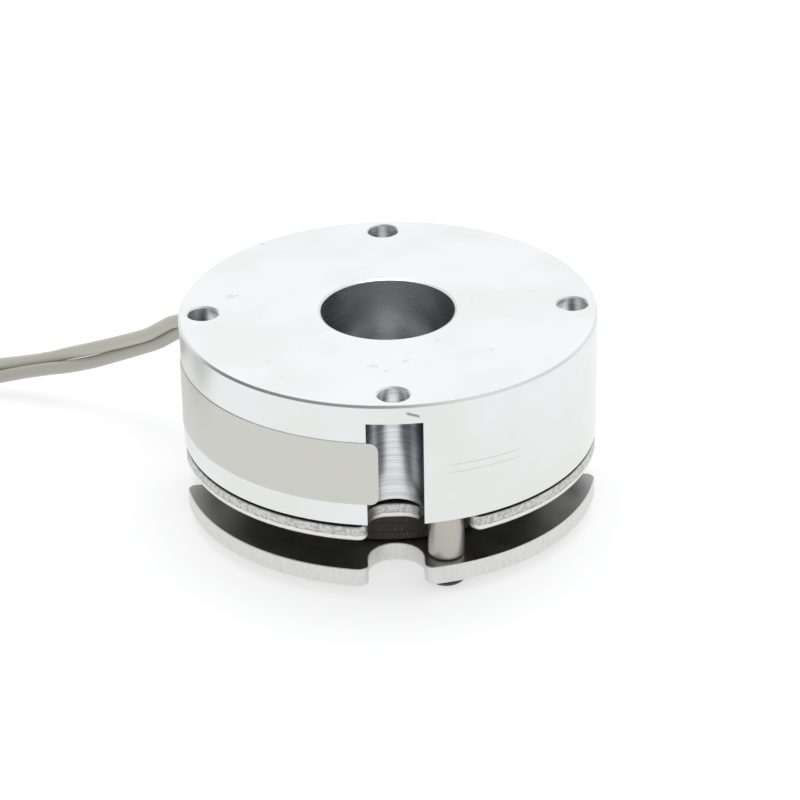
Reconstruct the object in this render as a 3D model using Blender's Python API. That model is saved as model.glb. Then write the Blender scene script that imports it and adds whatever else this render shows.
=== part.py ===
"""A spring-applied electromagnetic brake, mounting face up, standing on its three screw heads.

Metres, +Z up along the brake's axis. The origin is on the axis, at the level of the screw heads'
lowest faces. The front is -Y. An angle round the brake starts at the front and grows towards +X.

From the top: the magnet body with its coil and springs, the armature plate, the friction disc on
its hub, and the end plate. Three screws with spacer sleeves hold the end plate to the magnet body.
"""

import math

import bmesh
import bpy
from mathutils import Matrix, Vector

# The stack of pieces, from the screw heads up
HEAD_HEIGHT = 0.0017
PLATE_THICKNESS = 0.0024
FRICTION_SPACE = 0.0042
ARMATURE_THICKNESS = 0.0022
AIR_GAP = 0.00035
BODY_HEIGHT = 0.01775

PLATE_BOTTOM = HEAD_HEIGHT
PLATE_TOP = PLATE_BOTTOM + PLATE_THICKNESS
ARMATURE_BOTTOM = PLATE_TOP + FRICTION_SPACE
ARMATURE_TOP = ARMATURE_BOTTOM + ARMATURE_THICKNESS
BODY_BOTTOM = ARMATURE_TOP + AIR_GAP
BODY_TOP = BODY_BOTTOM + BODY_HEIGHT

# Clearances
SEAT_GAP = 0.0003
FRICTION_FACE_GAP = 0.0002
GLUE_LINE = 0.0001
THREAD_GAP = 0.0001
DRIVE_CLEARANCE = 0.0001
SCREW_CLEARANCE = 0.0002

# The rings of the brake, each a width added to the one inside it, from the shaft out to the rim
SHAFT_RADIUS = 0.0047625
HUB_NECK_WALL = 0.0020375
HUB_BORE_CLEARANCE = 0.0024
INNER_POLE_WIDTH = 0.0040
COIL_SPACE_WIDTH = 0.0066
OUTER_POLE_WALL = 0.00165
NOTCH_HALF_WIDTH = 0.00375
RIM_BEYOND_MOUNTS = 0.003375

HUB_NECK_RADIUS = SHAFT_RADIUS + HUB_NECK_WALL
BORE_RADIUS = HUB_NECK_RADIUS + HUB_BORE_CLEARANCE
COIL_INNER_RADIUS = BORE_RADIUS + INNER_POLE_WIDTH
COIL_OUTER_RADIUS = COIL_INNER_RADIUS + COIL_SPACE_WIDTH
NOTCH_FLOOR_RADIUS = COIL_OUTER_RADIUS + OUTER_POLE_WALL
MOUNT_CIRCLE_RADIUS = NOTCH_FLOOR_RADIUS + NOTCH_HALF_WIDTH
OUTER_RADIUS = MOUNT_CIRCLE_RADIUS + RIM_BEYOND_MOUNTS

PLATE_BORE_STEP = 0.0004
PLATE_BORE_RADIUS = BORE_RADIUS + PLATE_BORE_STEP
RIM_CHAMFER = 0.00025
BORE_CHAMFER = 0.0003

# Mounting holes, and the notches that let their screws reach them
MOUNT_COUNT = 4
MOUNT_HOLE_RADIUS = 0.0021
MOUNT_HOLE_CHAMFER = 0.0002
MOUNT_FLANGE = 0.0026
ARMATURE_NOTCH_PAST_MOUNTS = 0.0031
ARMATURE_NOTCH_CORNER = 0.0028
ARMATURE_LAND_ANGLE = math.radians(20)
PLATE_CORNER = 0.0012
ARMATURE_CORNER = 0.0013

# Spacers and the screws through them
SPACER_COUNT = 3
SPACER_INSIDE_RIM = 0.003375
SPACER_CIRCLE_RADIUS = OUTER_RADIUS - SPACER_INSIDE_RIM
SPACER_FIRST_ANGLE = math.radians(15.4)
SCREW_RADIUS = 0.0015
SPACER_WALL = 0.00075
SPACER_RADIUS = SCREW_RADIUS + SCREW_CLEARANCE + SPACER_WALL
SPACER_EDGE = 0.0004
SPACER_SLOT_CLEARANCE = 0.00085
SPACER_SLOT_RADIUS = SPACER_RADIUS + SPACER_SLOT_CLEARANCE
SPACER_SLOT_TURN = math.radians(-1.1)
SCREW_HEAD_OVERHANG = 0.00135
SCREW_HEAD_FLAT_RADIUS = 0.0015
SCREW_GRIP_IN_BODY = 0.006
SOCKET_FLATS = 0.0020
SOCKET_DEPTH = 0.0010
THREAD_HOLE_SPARE = 0.001

# The coil in its ring-shaped cavity, open towards the armature
COIL_DEPTH = 0.0125
BOBBIN_WALL = 0.0007
WINDING_BELOW_FLANGE = 0.0014
POTTING_DEPTH = 0.0015

# Springs in the inner pole
SPRING_COUNT = 6
SPRING_FIRST_ANGLE = math.radians(30)
SPRING_CIRCLE_RADIUS = (BORE_RADIUS + COIL_INNER_RADIUS) / 2
SPRING_POCKET_RADIUS = 0.00145
SPRING_POCKET_DEPTH = 0.006
SPRING_WIRE = 0.0004
SPRING_TURNS = 5
SPRING_END_GAP = 0.0001

# The friction disc
DISC_INSIDE_NOTCHES = 0.00055
DISC_RADIUS = NOTCH_FLOOR_RADIUS - DISC_INSIDE_NOTCHES
FRICTION_INNER_EDGE = 0.0009
DISC_INNER_RADIUS = PLATE_BORE_RADIUS + FRICTION_INNER_EDGE
CARRIER_INSIDE_RINGS = 0.0006
CARRIER_RADIUS = DISC_RADIUS - CARRIER_INSIDE_RINGS
CARRIER_THICKNESS = 0.0014
FRICTION_THICKNESS = (FRICTION_SPACE - 2 * FRICTION_FACE_GAP - CARRIER_THICKNESS - 2 * GLUE_LINE) / 2

# The hub on the motor shaft
HUB_FLAT_STEP = 0.0002
HUB_FLATS = 2 * (HUB_NECK_RADIUS + HUB_FLAT_STEP)
HUB_CORNER_STEP = 0.0009
HUB_CORNER_RADIUS = HUB_FLATS / 2 + HUB_CORNER_STEP
HUB_INTO_PLATE = 0.0021
HUB_BOTTOM = PLATE_TOP - HUB_INTO_PLATE
HUB_HEX_INTO_ARMATURE = 0.0015
HUB_NECK_LENGTH = 0.0058
HUB_CHAMFER = 0.0003
SET_SCREW_RADIUS = 0.0015
SET_SCREW_BELOW_TOP = 0.0028
SET_SCREW_ANGLES = (math.radians(-45), math.radians(45))
SET_SCREW_SOCKET_FLATS = 0.0015
SET_SCREW_SOCKET_DEPTH = 0.0009

# The foil label round the left of the magnet body
LABEL_GAP = 0.0001
LABEL_THICKNESS = 0.00015
LABEL_TOP_BELOW_FACE = 0.0054
LABEL_HEIGHT = 0.0091
LABEL_START_ANGLE = math.radians(-112.5)
LABEL_END_ANGLE = math.radians(-2.7)
LABEL_CORNER = 0.0015

# The lead wires and the bushing that they come out of
LEAD_DIAMETER = 0.0019
LEAD_SPACE = 0.0001
LEAD_PITCH = LEAD_DIAMETER + LEAD_SPACE
LEAD_ANGLE = math.radians(-126)
LEAD_BELOW_FACE = 0.0110
BUSHING_RADIUS = 0.0023
BUSHING_HOLE_GAP = 0.0001
BUSHING_FLANGE_LIP = 0.0004
BUSHING_FLANGE = 0.0005
BUSHING_INSIDE = 0.0003

# The middle of the pair of leads, from the bushing down to the tabletop and on to the coil
LEAD_ROUTE = (
    (-0.0241, 0.0175, 0.0176),
    (-0.0258, 0.0187, 0.0175),
    (-0.0279, 0.0200, 0.0171),
    (-0.0299, 0.0213, 0.0162),
    (-0.0318, 0.0228, 0.0145),
    (-0.0338, 0.0242, 0.0128),
    (-0.0368, 0.0263, 0.0109),
    (-0.0401, 0.0280, 0.0092),
    (-0.0432, 0.0293, 0.0078),
    (-0.0464, 0.0305, 0.0066),
    (-0.0495, 0.0315, 0.0056),
    (-0.0533, 0.0327, 0.0045),
    (-0.0571, 0.0337, 0.0035),
    (-0.0605, 0.0345, 0.0027),
    (-0.0640, 0.0351, 0.0022),
    (-0.0675, 0.0354, 0.0020),
)
# How far the upper lead leans over the lower one at each of those points, in degrees to the back
LEAD_LEANS = (-34, -33, -31, -28, -26, -24, -18, -6, 9, 36, 60, 62, 48, 28, 12, 3)
LEAD_TUBE_POINTS = 30

# The coil that the rest of each lead is wound into, one layer for each lead
COIL_CENTRE = (-0.0752, 0.0214)
COIL_FIRST_TURN_RADIUS = 0.0141
COIL_LAST_TURN_RADIUS = 0.0067
TIE_WIDTH = 0.0025
TIE_THICKNESS = 0.0006
TIE_ANGLE = math.radians(200)

# How finely round shapes are cut into flat faces
RIM_SEGMENTS = 96
RING_SEGMENTS = 48
HOLE_SEGMENTS = 24
NOTCH_SEGMENTS = 16
CORNER_SEGMENTS = 4
SPRING_POINTS_PER_TURN = 10
CUT_MARGIN = 0.001
MERGE_DISTANCE = 1e-7
SHARP_ANGLE = math.radians(30)


def clear_scene():
    """Removes every object, so that only the brake is left at the end."""
    for thing in list(bpy.data.objects):
        bpy.data.objects.remove(thing, do_unlink=True)


def material(name, colour, roughness, metallic):
    """A plain Principled material."""
    made = bpy.data.materials.new(name)
    made.use_nodes = True
    shader = made.node_tree.nodes["Principled BSDF"]
    shader.inputs["Base Color"].default_value = (*colour, 1.0)
    shader.inputs["Roughness"].default_value = roughness
    shader.inputs["Metallic"].default_value = metallic
    return made


def object_of(name, data, look=None, axis_at=(0, 0, 0)):
    """Links an object for some mesh or curve data, with its origin at axis_at."""
    made = bpy.data.objects.new(name, data)
    bpy.context.scene.collection.objects.link(made)
    if look:
        data.materials.append(look)
    if isinstance(data, bpy.types.Mesh):
        data.transform(Matrix.Translation(-Vector(axis_at)))
    made.location = axis_at
    return made


def mesh_of(name, shape):
    """Turns a finished bmesh into mesh data, with its faces pointing out and round walls smooth."""
    bmesh.ops.remove_doubles(shape, verts=shape.verts, dist=MERGE_DISTANCE)
    bmesh.ops.recalc_face_normals(shape, faces=shape.faces)
    data = bpy.data.meshes.new(name)
    shape.to_mesh(data)
    shape.free()
    data.shade_smooth()
    data.set_sharp_from_angle(angle=SHARP_ANGLE)
    return data


def polar(angle, radius):
    """A point in plan, by its angle from the front and its distance from the axis."""
    return radius * math.sin(angle), -radius * math.cos(angle)


def turned_to(angle):
    """The matrix that turns a shape made at the front round to an angle."""
    return Matrix.Rotation(angle, 4, "Z")


def add_turned(shape, profile, segments, matrix=None):
    """Adds a solid of revolution about Z. The profile is a list of (radius, height).

    One that starts and ends on the axis makes a solid piece, any other is closed into a ring.
    """
    solid = profile[0][0] == 0 and profile[-1][0] == 0
    corners = [shape.verts.new((radius, 0, height)) for radius, height in profile]
    pairs = list(zip(corners, corners[1:]))
    if not solid:
        pairs.append((corners[-1], corners[0]))
    edges = [shape.edges.new(pair) for pair in pairs]
    known = set(shape.verts) - set(corners)
    bmesh.ops.spin(
        shape,
        geom=corners + edges,
        cent=(0, 0, 0),
        axis=(0, 0, 1),
        angle=math.tau,
        steps=segments,
        use_merge=True,
    )
    made = [vert for vert in shape.verts if vert not in known]
    bmesh.ops.remove_doubles(shape, verts=made, dist=MERGE_DISTANCE)
    made = [vert for vert in shape.verts if vert not in known]
    if matrix is not None:
        bmesh.ops.transform(shape, matrix=matrix, verts=made)


def add_prism(shape, outline, bottom, top, matrix=None):
    """Adds an upright prism on an outline of (x, y) points that runs counterclockwise."""
    low = [shape.verts.new((x, y, bottom)) for x, y in outline]
    face = shape.faces.new(low)
    raised = bmesh.ops.extrude_face_region(shape, geom=[face])["geom"]
    high = [item for item in raised if isinstance(item, bmesh.types.BMVert)]
    bmesh.ops.translate(shape, vec=(0, 0, top - bottom), verts=high)
    if matrix is not None:
        bmesh.ops.transform(shape, matrix=matrix, verts=low + high)


def cylinder_profile(radius, bottom, top):
    """The profile of a plain cylinder, for add_turned."""
    return [(0, bottom), (radius, bottom), (radius, top), (0, top)]


def at(angle, radius, height=0.0):
    """The matrix that moves a shape from the axis to a place round the brake, turned to face out."""
    return turned_to(angle) @ Matrix.Translation((0, -radius, height))


def lying_out(angle, height):
    """The matrix that lays a shape's +Z along the way out from the axis at an angle."""
    return Matrix.Translation((0, 0, height)) @ turned_to(angle) @ Matrix.Rotation(math.radians(90), 4, "X")


def cutter(name, shape):
    """A hidden helper object for a Boolean."""
    made = object_of(name, mesh_of(name, shape))
    made.hide_render = True
    made.display_type = "WIRE"
    return made


def boolean(target, tool, operation="DIFFERENCE"):
    """Adds an exact Boolean with a helper object to a piece."""
    modifier = target.modifiers.new(tool.name, "BOOLEAN")
    modifier.operation = operation
    modifier.solver = "EXACT"
    modifier.object = tool


def arc(centre, radius, start, end, count):
    """Points on an arc in plan, both ends included, for angles measured from +X."""
    steps = [start + (end - start) * step / count for step in range(count + 1)]
    return [(centre[0] + radius * math.cos(a), centre[1] + radius * math.sin(a)) for a in steps]


def notch_outline(half_width, floor, floor_corner, mouth_corner):
    """A notch at the front, open to the rim, as a counterclockwise outline.

    half_width is half the way between its side walls, and floor the distance from the axis to its
    deepest point, where corners of radius floor_corner join the walls. Each wall meets the rim in
    an outward curve of radius mouth_corner, or squarely where that is 0.
    """
    reach = OUTER_RADIUS + CUT_MARGIN
    inset = half_width - floor_corner
    corner_y = -(floor + floor_corner)
    right = arc((inset, corner_y), floor_corner, 0, math.pi / 2, NOTCH_SEGMENTS // 2)
    if mouth_corner:
        curve_x = half_width + mouth_corner
        curve_y = -math.sqrt((OUTER_RADIUS - mouth_corner) ** 2 - curve_x**2)
        meets = math.atan2(curve_y, curve_x)
        mouth = arc((curve_x, curve_y), mouth_corner, meets, -math.pi, CORNER_SEGMENTS)
        outside = (reach * math.cos(meets), reach * math.sin(meets))
        right = [outside] + mouth + right
    else:
        right = [(half_width, -reach)] + right
    if inset > 0:
        left = [(-x, y) for x, y in reversed(right)]
    else:
        left = [(-x, y) for x, y in reversed(right[:-1])]
    return right + left


def mount_angles():
    """The angles of the mounting holes."""
    return [math.tau * index / MOUNT_COUNT for index in range(MOUNT_COUNT)]


def angle_between(first, last):
    """The smallest turn from the first angle to the last."""
    return (last - first + math.pi) % math.tau - math.pi


def spacer_angles():
    """The angles of the spacers."""
    return [SPACER_FIRST_ANGLE + math.tau * index / SPACER_COUNT for index in range(SPACER_COUNT)]


def spring_angles():
    """The angles of the springs."""
    return [SPRING_FIRST_ANGLE + math.tau * index / SPRING_COUNT for index in range(SPRING_COUNT)]


def hexagon(flats):
    """A hexagon in plan, by the distance between its flats."""
    radius = flats / 2 / math.cos(math.pi / 6)
    return arc((0, 0), radius, 0, math.tau * 5 / 6, 5)


def magnet_body(look):
    """The turned housing: bore, coil cavity, spring pockets, screw notches and holes."""
    cavity_top = BODY_BOTTOM + COIL_DEPTH
    shape = bmesh.new()
    profile = [
        (BORE_RADIUS, BODY_BOTTOM + BORE_CHAMFER),
        (BORE_RADIUS + BORE_CHAMFER, BODY_BOTTOM),
        (COIL_INNER_RADIUS, BODY_BOTTOM),
        (COIL_INNER_RADIUS, cavity_top),
        (COIL_OUTER_RADIUS, cavity_top),
        (COIL_OUTER_RADIUS, BODY_BOTTOM),
        (OUTER_RADIUS, BODY_BOTTOM),
        (OUTER_RADIUS, BODY_TOP - RIM_CHAMFER),
        (OUTER_RADIUS - RIM_CHAMFER, BODY_TOP),
        (BORE_RADIUS + BORE_CHAMFER, BODY_TOP),
        (BORE_RADIUS, BODY_TOP - BORE_CHAMFER),
    ]
    add_turned(shape, profile, RIM_SEGMENTS)
    body = object_of("magnet_body", mesh_of("magnet_body", shape), look)

    notches, holes = bmesh.new(), bmesh.new()
    outline = notch_outline(NOTCH_HALF_WIDTH, NOTCH_FLOOR_RADIUS, NOTCH_HALF_WIDTH, 0)
    mouth = MOUNT_HOLE_RADIUS + MOUNT_HOLE_CHAMFER
    hole = [
        (0, BODY_TOP - MOUNT_FLANGE - CUT_MARGIN),
        (MOUNT_HOLE_RADIUS, BODY_TOP - MOUNT_FLANGE - CUT_MARGIN),
        (MOUNT_HOLE_RADIUS, BODY_TOP - MOUNT_HOLE_CHAMFER),
        (mouth + CUT_MARGIN, BODY_TOP + CUT_MARGIN),
        (0, BODY_TOP + CUT_MARGIN),
    ]
    for angle in mount_angles():
        top = BODY_TOP - MOUNT_FLANGE
        add_prism(notches, outline, BODY_BOTTOM - CUT_MARGIN, top, turned_to(angle))
        add_turned(holes, hole, HOLE_SEGMENTS, at(angle, MOUNT_CIRCLE_RADIUS))
    boolean(body, cutter("cut_body_notches", notches))
    boolean(body, cutter("cut_mount_holes", holes))

    pockets = bmesh.new()
    pocket = cylinder_profile(
        SPRING_POCKET_RADIUS, BODY_BOTTOM - CUT_MARGIN, BODY_BOTTOM + SPRING_POCKET_DEPTH
    )
    for angle in spring_angles():
        add_turned(pockets, pocket, HOLE_SEGMENTS // 2, at(angle, SPRING_CIRCLE_RADIUS))
    boolean(body, cutter("cut_spring_pockets", pockets))

    threads = bmesh.new()
    thread = cylinder_profile(
        SCREW_RADIUS + THREAD_GAP,
        BODY_BOTTOM - CUT_MARGIN,
        BODY_BOTTOM + SCREW_GRIP_IN_BODY + THREAD_HOLE_SPARE,
    )
    for angle in spacer_angles():
        add_turned(threads, thread, HOLE_SEGMENTS // 2, at(angle, SPACER_CIRCLE_RADIUS))
    boolean(body, cutter("cut_screw_threads", threads))

    way = bmesh.new()
    middle = (COIL_INNER_RADIUS + COIL_OUTER_RADIUS) / 2
    passage = cylinder_profile(
        BUSHING_RADIUS + BUSHING_HOLE_GAP, middle, OUTER_RADIUS + CUT_MARGIN
    )
    add_turned(way, passage, HOLE_SEGMENTS, lying_out(LEAD_ANGLE, BODY_TOP - LEAD_BELOW_FACE))
    boolean(body, cutter("cut_lead_passage", way))


def coil(bobbin_look, winding_look, potting_look):
    """The winding on its bobbin, sealed in its cavity by a ring of potting."""
    inner, outer = COIL_INNER_RADIUS + SEAT_GAP, COIL_OUTER_RADIUS - SEAT_GAP
    potting_bottom = BODY_BOTTOM + SEAT_GAP
    potting_top = potting_bottom + POTTING_DEPTH
    bottom = potting_top + SEAT_GAP
    top = BODY_BOTTOM + COIL_DEPTH - SEAT_GAP
    shape = bmesh.new()
    profile = [
        (inner, bottom),
        (outer, bottom),
        (outer, bottom + BOBBIN_WALL),
        (inner + BOBBIN_WALL, bottom + BOBBIN_WALL),
        (inner + BOBBIN_WALL, top - BOBBIN_WALL),
        (outer, top - BOBBIN_WALL),
        (outer, top),
        (inner, top),
    ]
    add_turned(shape, profile, RING_SEGMENTS)
    object_of("coil_bobbin", mesh_of("coil_bobbin", shape), bobbin_look)

    shape = bmesh.new()
    wire_inner = inner + BOBBIN_WALL + SEAT_GAP
    wire_outer = outer - WINDING_BELOW_FLANGE
    low, high = bottom + BOBBIN_WALL + SEAT_GAP, top - BOBBIN_WALL - SEAT_GAP
    profile = [(wire_inner, low), (wire_outer, low), (wire_outer, high), (wire_inner, high)]
    add_turned(shape, profile, RING_SEGMENTS)
    object_of("coil_winding", mesh_of("coil_winding", shape), winding_look)

    shape = bmesh.new()
    low, high = potting_bottom, potting_top
    profile = [(inner, low), (outer, low), (outer, high), (inner, high)]
    add_turned(shape, profile, RING_SEGMENTS)
    object_of("coil_potting", mesh_of("coil_potting", shape), potting_look)


def tube_of(name, points, diameter, rings, look):
    """A round wire or cord: a curve through the points, with a bevel and filled ends."""
    data = bpy.data.curves.new(name, "CURVE")
    data.dimensions = "3D"
    data.bevel_depth = diameter / 2
    data.bevel_resolution = rings
    data.use_fill_caps = True
    spline = data.splines.new("POLY")
    spline.points.add(len(points) - 1)
    for target, point in zip(spline.points, points):
        target.co = (*point, 1)
    return object_of(name, data, look)


def springs(look):
    """Six wire springs in the inner pole, which press the armature down on the disc."""
    low = ARMATURE_TOP + SPRING_END_GAP + SPRING_WIRE / 2
    high = BODY_BOTTOM + SPRING_POCKET_DEPTH - SPRING_END_GAP - SPRING_WIRE / 2
    coil_radius = SPRING_POCKET_RADIUS - SEAT_GAP - SPRING_WIRE / 2
    count = SPRING_TURNS * SPRING_POINTS_PER_TURN
    for number, angle in enumerate(spring_angles(), 1):
        x, y = polar(angle, SPRING_CIRCLE_RADIUS)
        points = []
        for step in range(count + 1):
            turn = math.tau * step / SPRING_POINTS_PER_TURN
            height = low + (high - low) * step / count
            points.append((x + coil_radius * math.cos(turn), y + coil_radius * math.sin(turn), height))
        tube_of(f"spring_{number}", points, SPRING_WIRE, 0, look)


def armature_plate(look):
    """The plate that the magnet pulls: notched like the body, and slotted round the spacers."""
    shape = bmesh.new()
    profile = [
        (PLATE_BORE_RADIUS, ARMATURE_BOTTOM),
        (OUTER_RADIUS, ARMATURE_BOTTOM),
        (OUTER_RADIUS, ARMATURE_TOP),
        (PLATE_BORE_RADIUS, ARMATURE_TOP),
    ]
    add_turned(shape, profile, RIM_SEGMENTS)
    plate = object_of("armature_plate", mesh_of("armature_plate", shape), look)

    low, high = ARMATURE_BOTTOM - CUT_MARGIN, ARMATURE_TOP + CUT_MARGIN
    notches, slots = bmesh.new(), bmesh.new()
    floor = MOUNT_CIRCLE_RADIUS - ARMATURE_NOTCH_PAST_MOUNTS
    notch = notch_outline(NOTCH_HALF_WIDTH, floor, ARMATURE_NOTCH_CORNER, ARMATURE_CORNER)
    for angle in mount_angles():
        add_prism(notches, notch, low, high, turned_to(angle))
    floor = SPACER_CIRCLE_RADIUS - SPACER_SLOT_RADIUS
    slot = notch_outline(SPACER_SLOT_RADIUS, floor, SPACER_SLOT_RADIUS, ARMATURE_CORNER)
    lands = bmesh.new()
    reach = OUTER_RADIUS + CUT_MARGIN
    for angle in spacer_angles():
        turned = angle + SPACER_SLOT_TURN
        add_prism(slots, slot, low, high, turned_to(turned))
        near = min(mount_angles(), key=lambda mount: abs(angle_between(mount, turned)))
        if abs(angle_between(near, turned)) < ARMATURE_LAND_ANGLE:
            first, last = sorted((turned, turned - angle_between(near, turned)))
            land = [polar(first, MOUNT_CIRCLE_RADIUS), polar(first, reach)]
            land += [polar(last, reach), polar(last, MOUNT_CIRCLE_RADIUS)]
            add_prism(lands, land, low, high)
    boolean(plate, cutter("cut_armature_notches", notches))
    boolean(plate, cutter("cut_armature_slots", slots))
    boolean(plate, cutter("cut_armature_lands", lands))


def end_plate(look):
    """The plate that the disc is pressed against, at the bottom of the brake."""
    shape = bmesh.new()
    profile = [
        (PLATE_BORE_RADIUS, PLATE_BOTTOM),
        (OUTER_RADIUS, PLATE_BOTTOM),
        (OUTER_RADIUS, PLATE_TOP),
        (PLATE_BORE_RADIUS, PLATE_TOP),
    ]
    add_turned(shape, profile, RIM_SEGMENTS)
    plate = object_of("end_plate", mesh_of("end_plate", shape), look)

    low, high = PLATE_BOTTOM - CUT_MARGIN, PLATE_TOP + CUT_MARGIN
    notches, holes = bmesh.new(), bmesh.new()
    notch = notch_outline(NOTCH_HALF_WIDTH, NOTCH_FLOOR_RADIUS, NOTCH_HALF_WIDTH, PLATE_CORNER)
    for angle in mount_angles():
        add_prism(notches, notch, low, high, turned_to(angle))
    hole = cylinder_profile(SCREW_RADIUS + SCREW_CLEARANCE, low, high)
    for angle in spacer_angles():
        add_turned(holes, hole, HOLE_SEGMENTS, at(angle, SPACER_CIRCLE_RADIUS))
    boolean(plate, cutter("cut_plate_notches", notches))
    boolean(plate, cutter("cut_plate_holes", holes))


def spacers(look):
    """Sleeves round the screws, which hold the end plate its distance from the body."""
    low, high = PLATE_TOP + SEAT_GAP, BODY_BOTTOM - SEAT_GAP
    inner = SCREW_RADIUS + SCREW_CLEARANCE
    profile = [
        (inner, low),
        (SPACER_RADIUS - SPACER_EDGE, low),
        (SPACER_RADIUS, low + SPACER_EDGE),
        (SPACER_RADIUS, high - SPACER_EDGE),
        (SPACER_RADIUS - SPACER_EDGE, high),
        (inner, high),
    ]
    for number, angle in enumerate(spacer_angles(), 1):
        shape = bmesh.new()
        add_turned(shape, profile, HOLE_SEGMENTS, at(angle, SPACER_CIRCLE_RADIUS))
        x, y = polar(angle, SPACER_CIRCLE_RADIUS)
        name = f"spacer_{number}"
        object_of(name, mesh_of(name, shape), look, (x, y, low))


def cap_screws(look):
    """Button head screws, from under the end plate up into the magnet body."""
    head_top = PLATE_BOTTOM - SEAT_GAP
    tip = BODY_BOTTOM + SCREW_GRIP_IN_BODY
    across = SCREW_RADIUS + SCREW_HEAD_OVERHANG - SCREW_HEAD_FLAT_RADIUS
    dome = []
    for step in range(CORNER_SEGMENTS + 1):
        turn = math.pi / 2 * step / CORNER_SEGMENTS
        dome.append((SCREW_HEAD_FLAT_RADIUS + across * math.sin(turn), head_top * (1 - math.cos(turn))))
    profile = [(0, 0), *dome, (SCREW_RADIUS, head_top), (SCREW_RADIUS, tip), (0, tip)]
    for number, angle in enumerate(spacer_angles(), 1):
        shape = bmesh.new()
        place = at(angle, SPACER_CIRCLE_RADIUS)
        add_turned(shape, profile, HOLE_SEGMENTS, place)
        x, y = polar(angle, SPACER_CIRCLE_RADIUS)
        name = f"cap_screw_{number}"
        screw = object_of(name, mesh_of(name, shape), look, (x, y, 0))
        socket = bmesh.new()
        add_prism(socket, hexagon(SOCKET_FLATS), -CUT_MARGIN, SOCKET_DEPTH, place)
        boolean(screw, cutter(f"cut_socket_{number}", socket))


def friction_disc(carrier_look, ring_look):
    """The disc: a carrier with a hexagon hole for the hub, and a friction ring on each face."""
    low = PLATE_TOP + FRICTION_FACE_GAP
    carrier_low = low + FRICTION_THICKNESS + GLUE_LINE
    carrier_high = carrier_low + CARRIER_THICKNESS
    upper_low = carrier_high + GLUE_LINE

    shape = bmesh.new()
    add_turned(shape, cylinder_profile(CARRIER_RADIUS, carrier_low, carrier_high), RING_SEGMENTS)
    carrier = object_of("disc_carrier", mesh_of("disc_carrier", shape), carrier_look)
    window = bmesh.new()
    drive = HUB_FLATS + 2 * DRIVE_CLEARANCE
    add_prism(window, hexagon(drive), carrier_low - CUT_MARGIN, carrier_high + CUT_MARGIN)
    boolean(carrier, cutter("cut_carrier_drive", window))

    for name, bottom in (("friction_ring_lower", low), ("friction_ring_upper", upper_low)):
        top = bottom + FRICTION_THICKNESS
        profile = [
            (DISC_INNER_RADIUS, bottom),
            (DISC_RADIUS, bottom),
            (DISC_RADIUS, top),
            (DISC_INNER_RADIUS, top),
        ]
        shape = bmesh.new()
        add_turned(shape, profile, RING_SEGMENTS)
        object_of(name, mesh_of(name, shape), ring_look)


def rotor_hub(look, screw_look):
    """The hub on the shaft, with a hexagon for the disc and a round neck for its set screws."""
    shoulder = ARMATURE_BOTTOM + HUB_HEX_INTO_ARMATURE
    top = shoulder + HUB_NECK_LENGTH
    profile = [
        (SHAFT_RADIUS, HUB_BOTTOM + HUB_CHAMFER),
        (SHAFT_RADIUS + HUB_CHAMFER, HUB_BOTTOM),
        (HUB_CORNER_RADIUS - HUB_CHAMFER, HUB_BOTTOM),
        (HUB_CORNER_RADIUS, HUB_BOTTOM + HUB_CHAMFER),
        (HUB_CORNER_RADIUS, shoulder),
        (HUB_NECK_RADIUS, shoulder),
        (HUB_NECK_RADIUS, top - HUB_CHAMFER),
        (HUB_NECK_RADIUS - HUB_CHAMFER, top),
        (SHAFT_RADIUS + HUB_CHAMFER, top),
        (SHAFT_RADIUS, top - HUB_CHAMFER),
    ]
    shape = bmesh.new()
    add_turned(shape, profile, RING_SEGMENTS)
    hub = object_of("rotor_hub", mesh_of("rotor_hub", shape), look)
    stock = bmesh.new()
    add_prism(stock, hexagon(HUB_FLATS), HUB_BOTTOM - CUT_MARGIN, top + CUT_MARGIN)
    boolean(hub, cutter("keep_hub_hexagon", stock), "INTERSECT")

    height = top - SET_SCREW_BELOW_TOP
    inner, outer = SHAFT_RADIUS + SEAT_GAP, HUB_NECK_RADIUS - SEAT_GAP
    holes = bmesh.new()
    hole = cylinder_profile(SET_SCREW_RADIUS + THREAD_GAP, SHAFT_RADIUS / 2, HUB_CORNER_RADIUS)
    for number, angle in enumerate(SET_SCREW_ANGLES, 1):
        place = lying_out(angle, height)
        add_turned(holes, hole, HOLE_SEGMENTS // 2, place)
        shape = bmesh.new()
        add_turned(shape, cylinder_profile(SET_SCREW_RADIUS, inner, outer), HOLE_SEGMENTS // 2, place)
        name = f"set_screw_{number}"
        x, y = polar(angle, inner)
        screw = object_of(name, mesh_of(name, shape), screw_look, (x, y, height))
        socket = bmesh.new()
        low = outer - SET_SCREW_SOCKET_DEPTH
        add_prism(socket, hexagon(SET_SCREW_SOCKET_FLATS), low, outer + CUT_MARGIN, place)
        boolean(screw, cutter(f"cut_set_socket_{number}", socket))
    boolean(hub, cutter("cut_set_screw_holes", holes))


def label_columns(radius):
    """The label's columns as (angle, inset of its edges), with rounded corners at both ends."""
    facet = math.tau / RIM_SEGMENTS
    width = LABEL_CORNER / radius
    corner = []
    for step in range(CORNER_SEGMENTS + 1):
        turn = math.pi / 2 * step / CORNER_SEGMENTS
        corner.append((width * (1 - math.sin(turn)), LABEL_CORNER * (1 - math.cos(turn))))
    first = math.floor((LABEL_START_ANGLE + width) / facet) + 1
    last = math.ceil((LABEL_END_ANGLE - width) / facet) - 1
    columns = [(LABEL_START_ANGLE + along, inset) for along, inset in reversed(corner)]
    columns += [(facet * index, 0.0) for index in range(first, last + 1)]
    columns += [(LABEL_END_ANGLE - along, inset) for along, inset in corner]
    return columns


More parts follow.
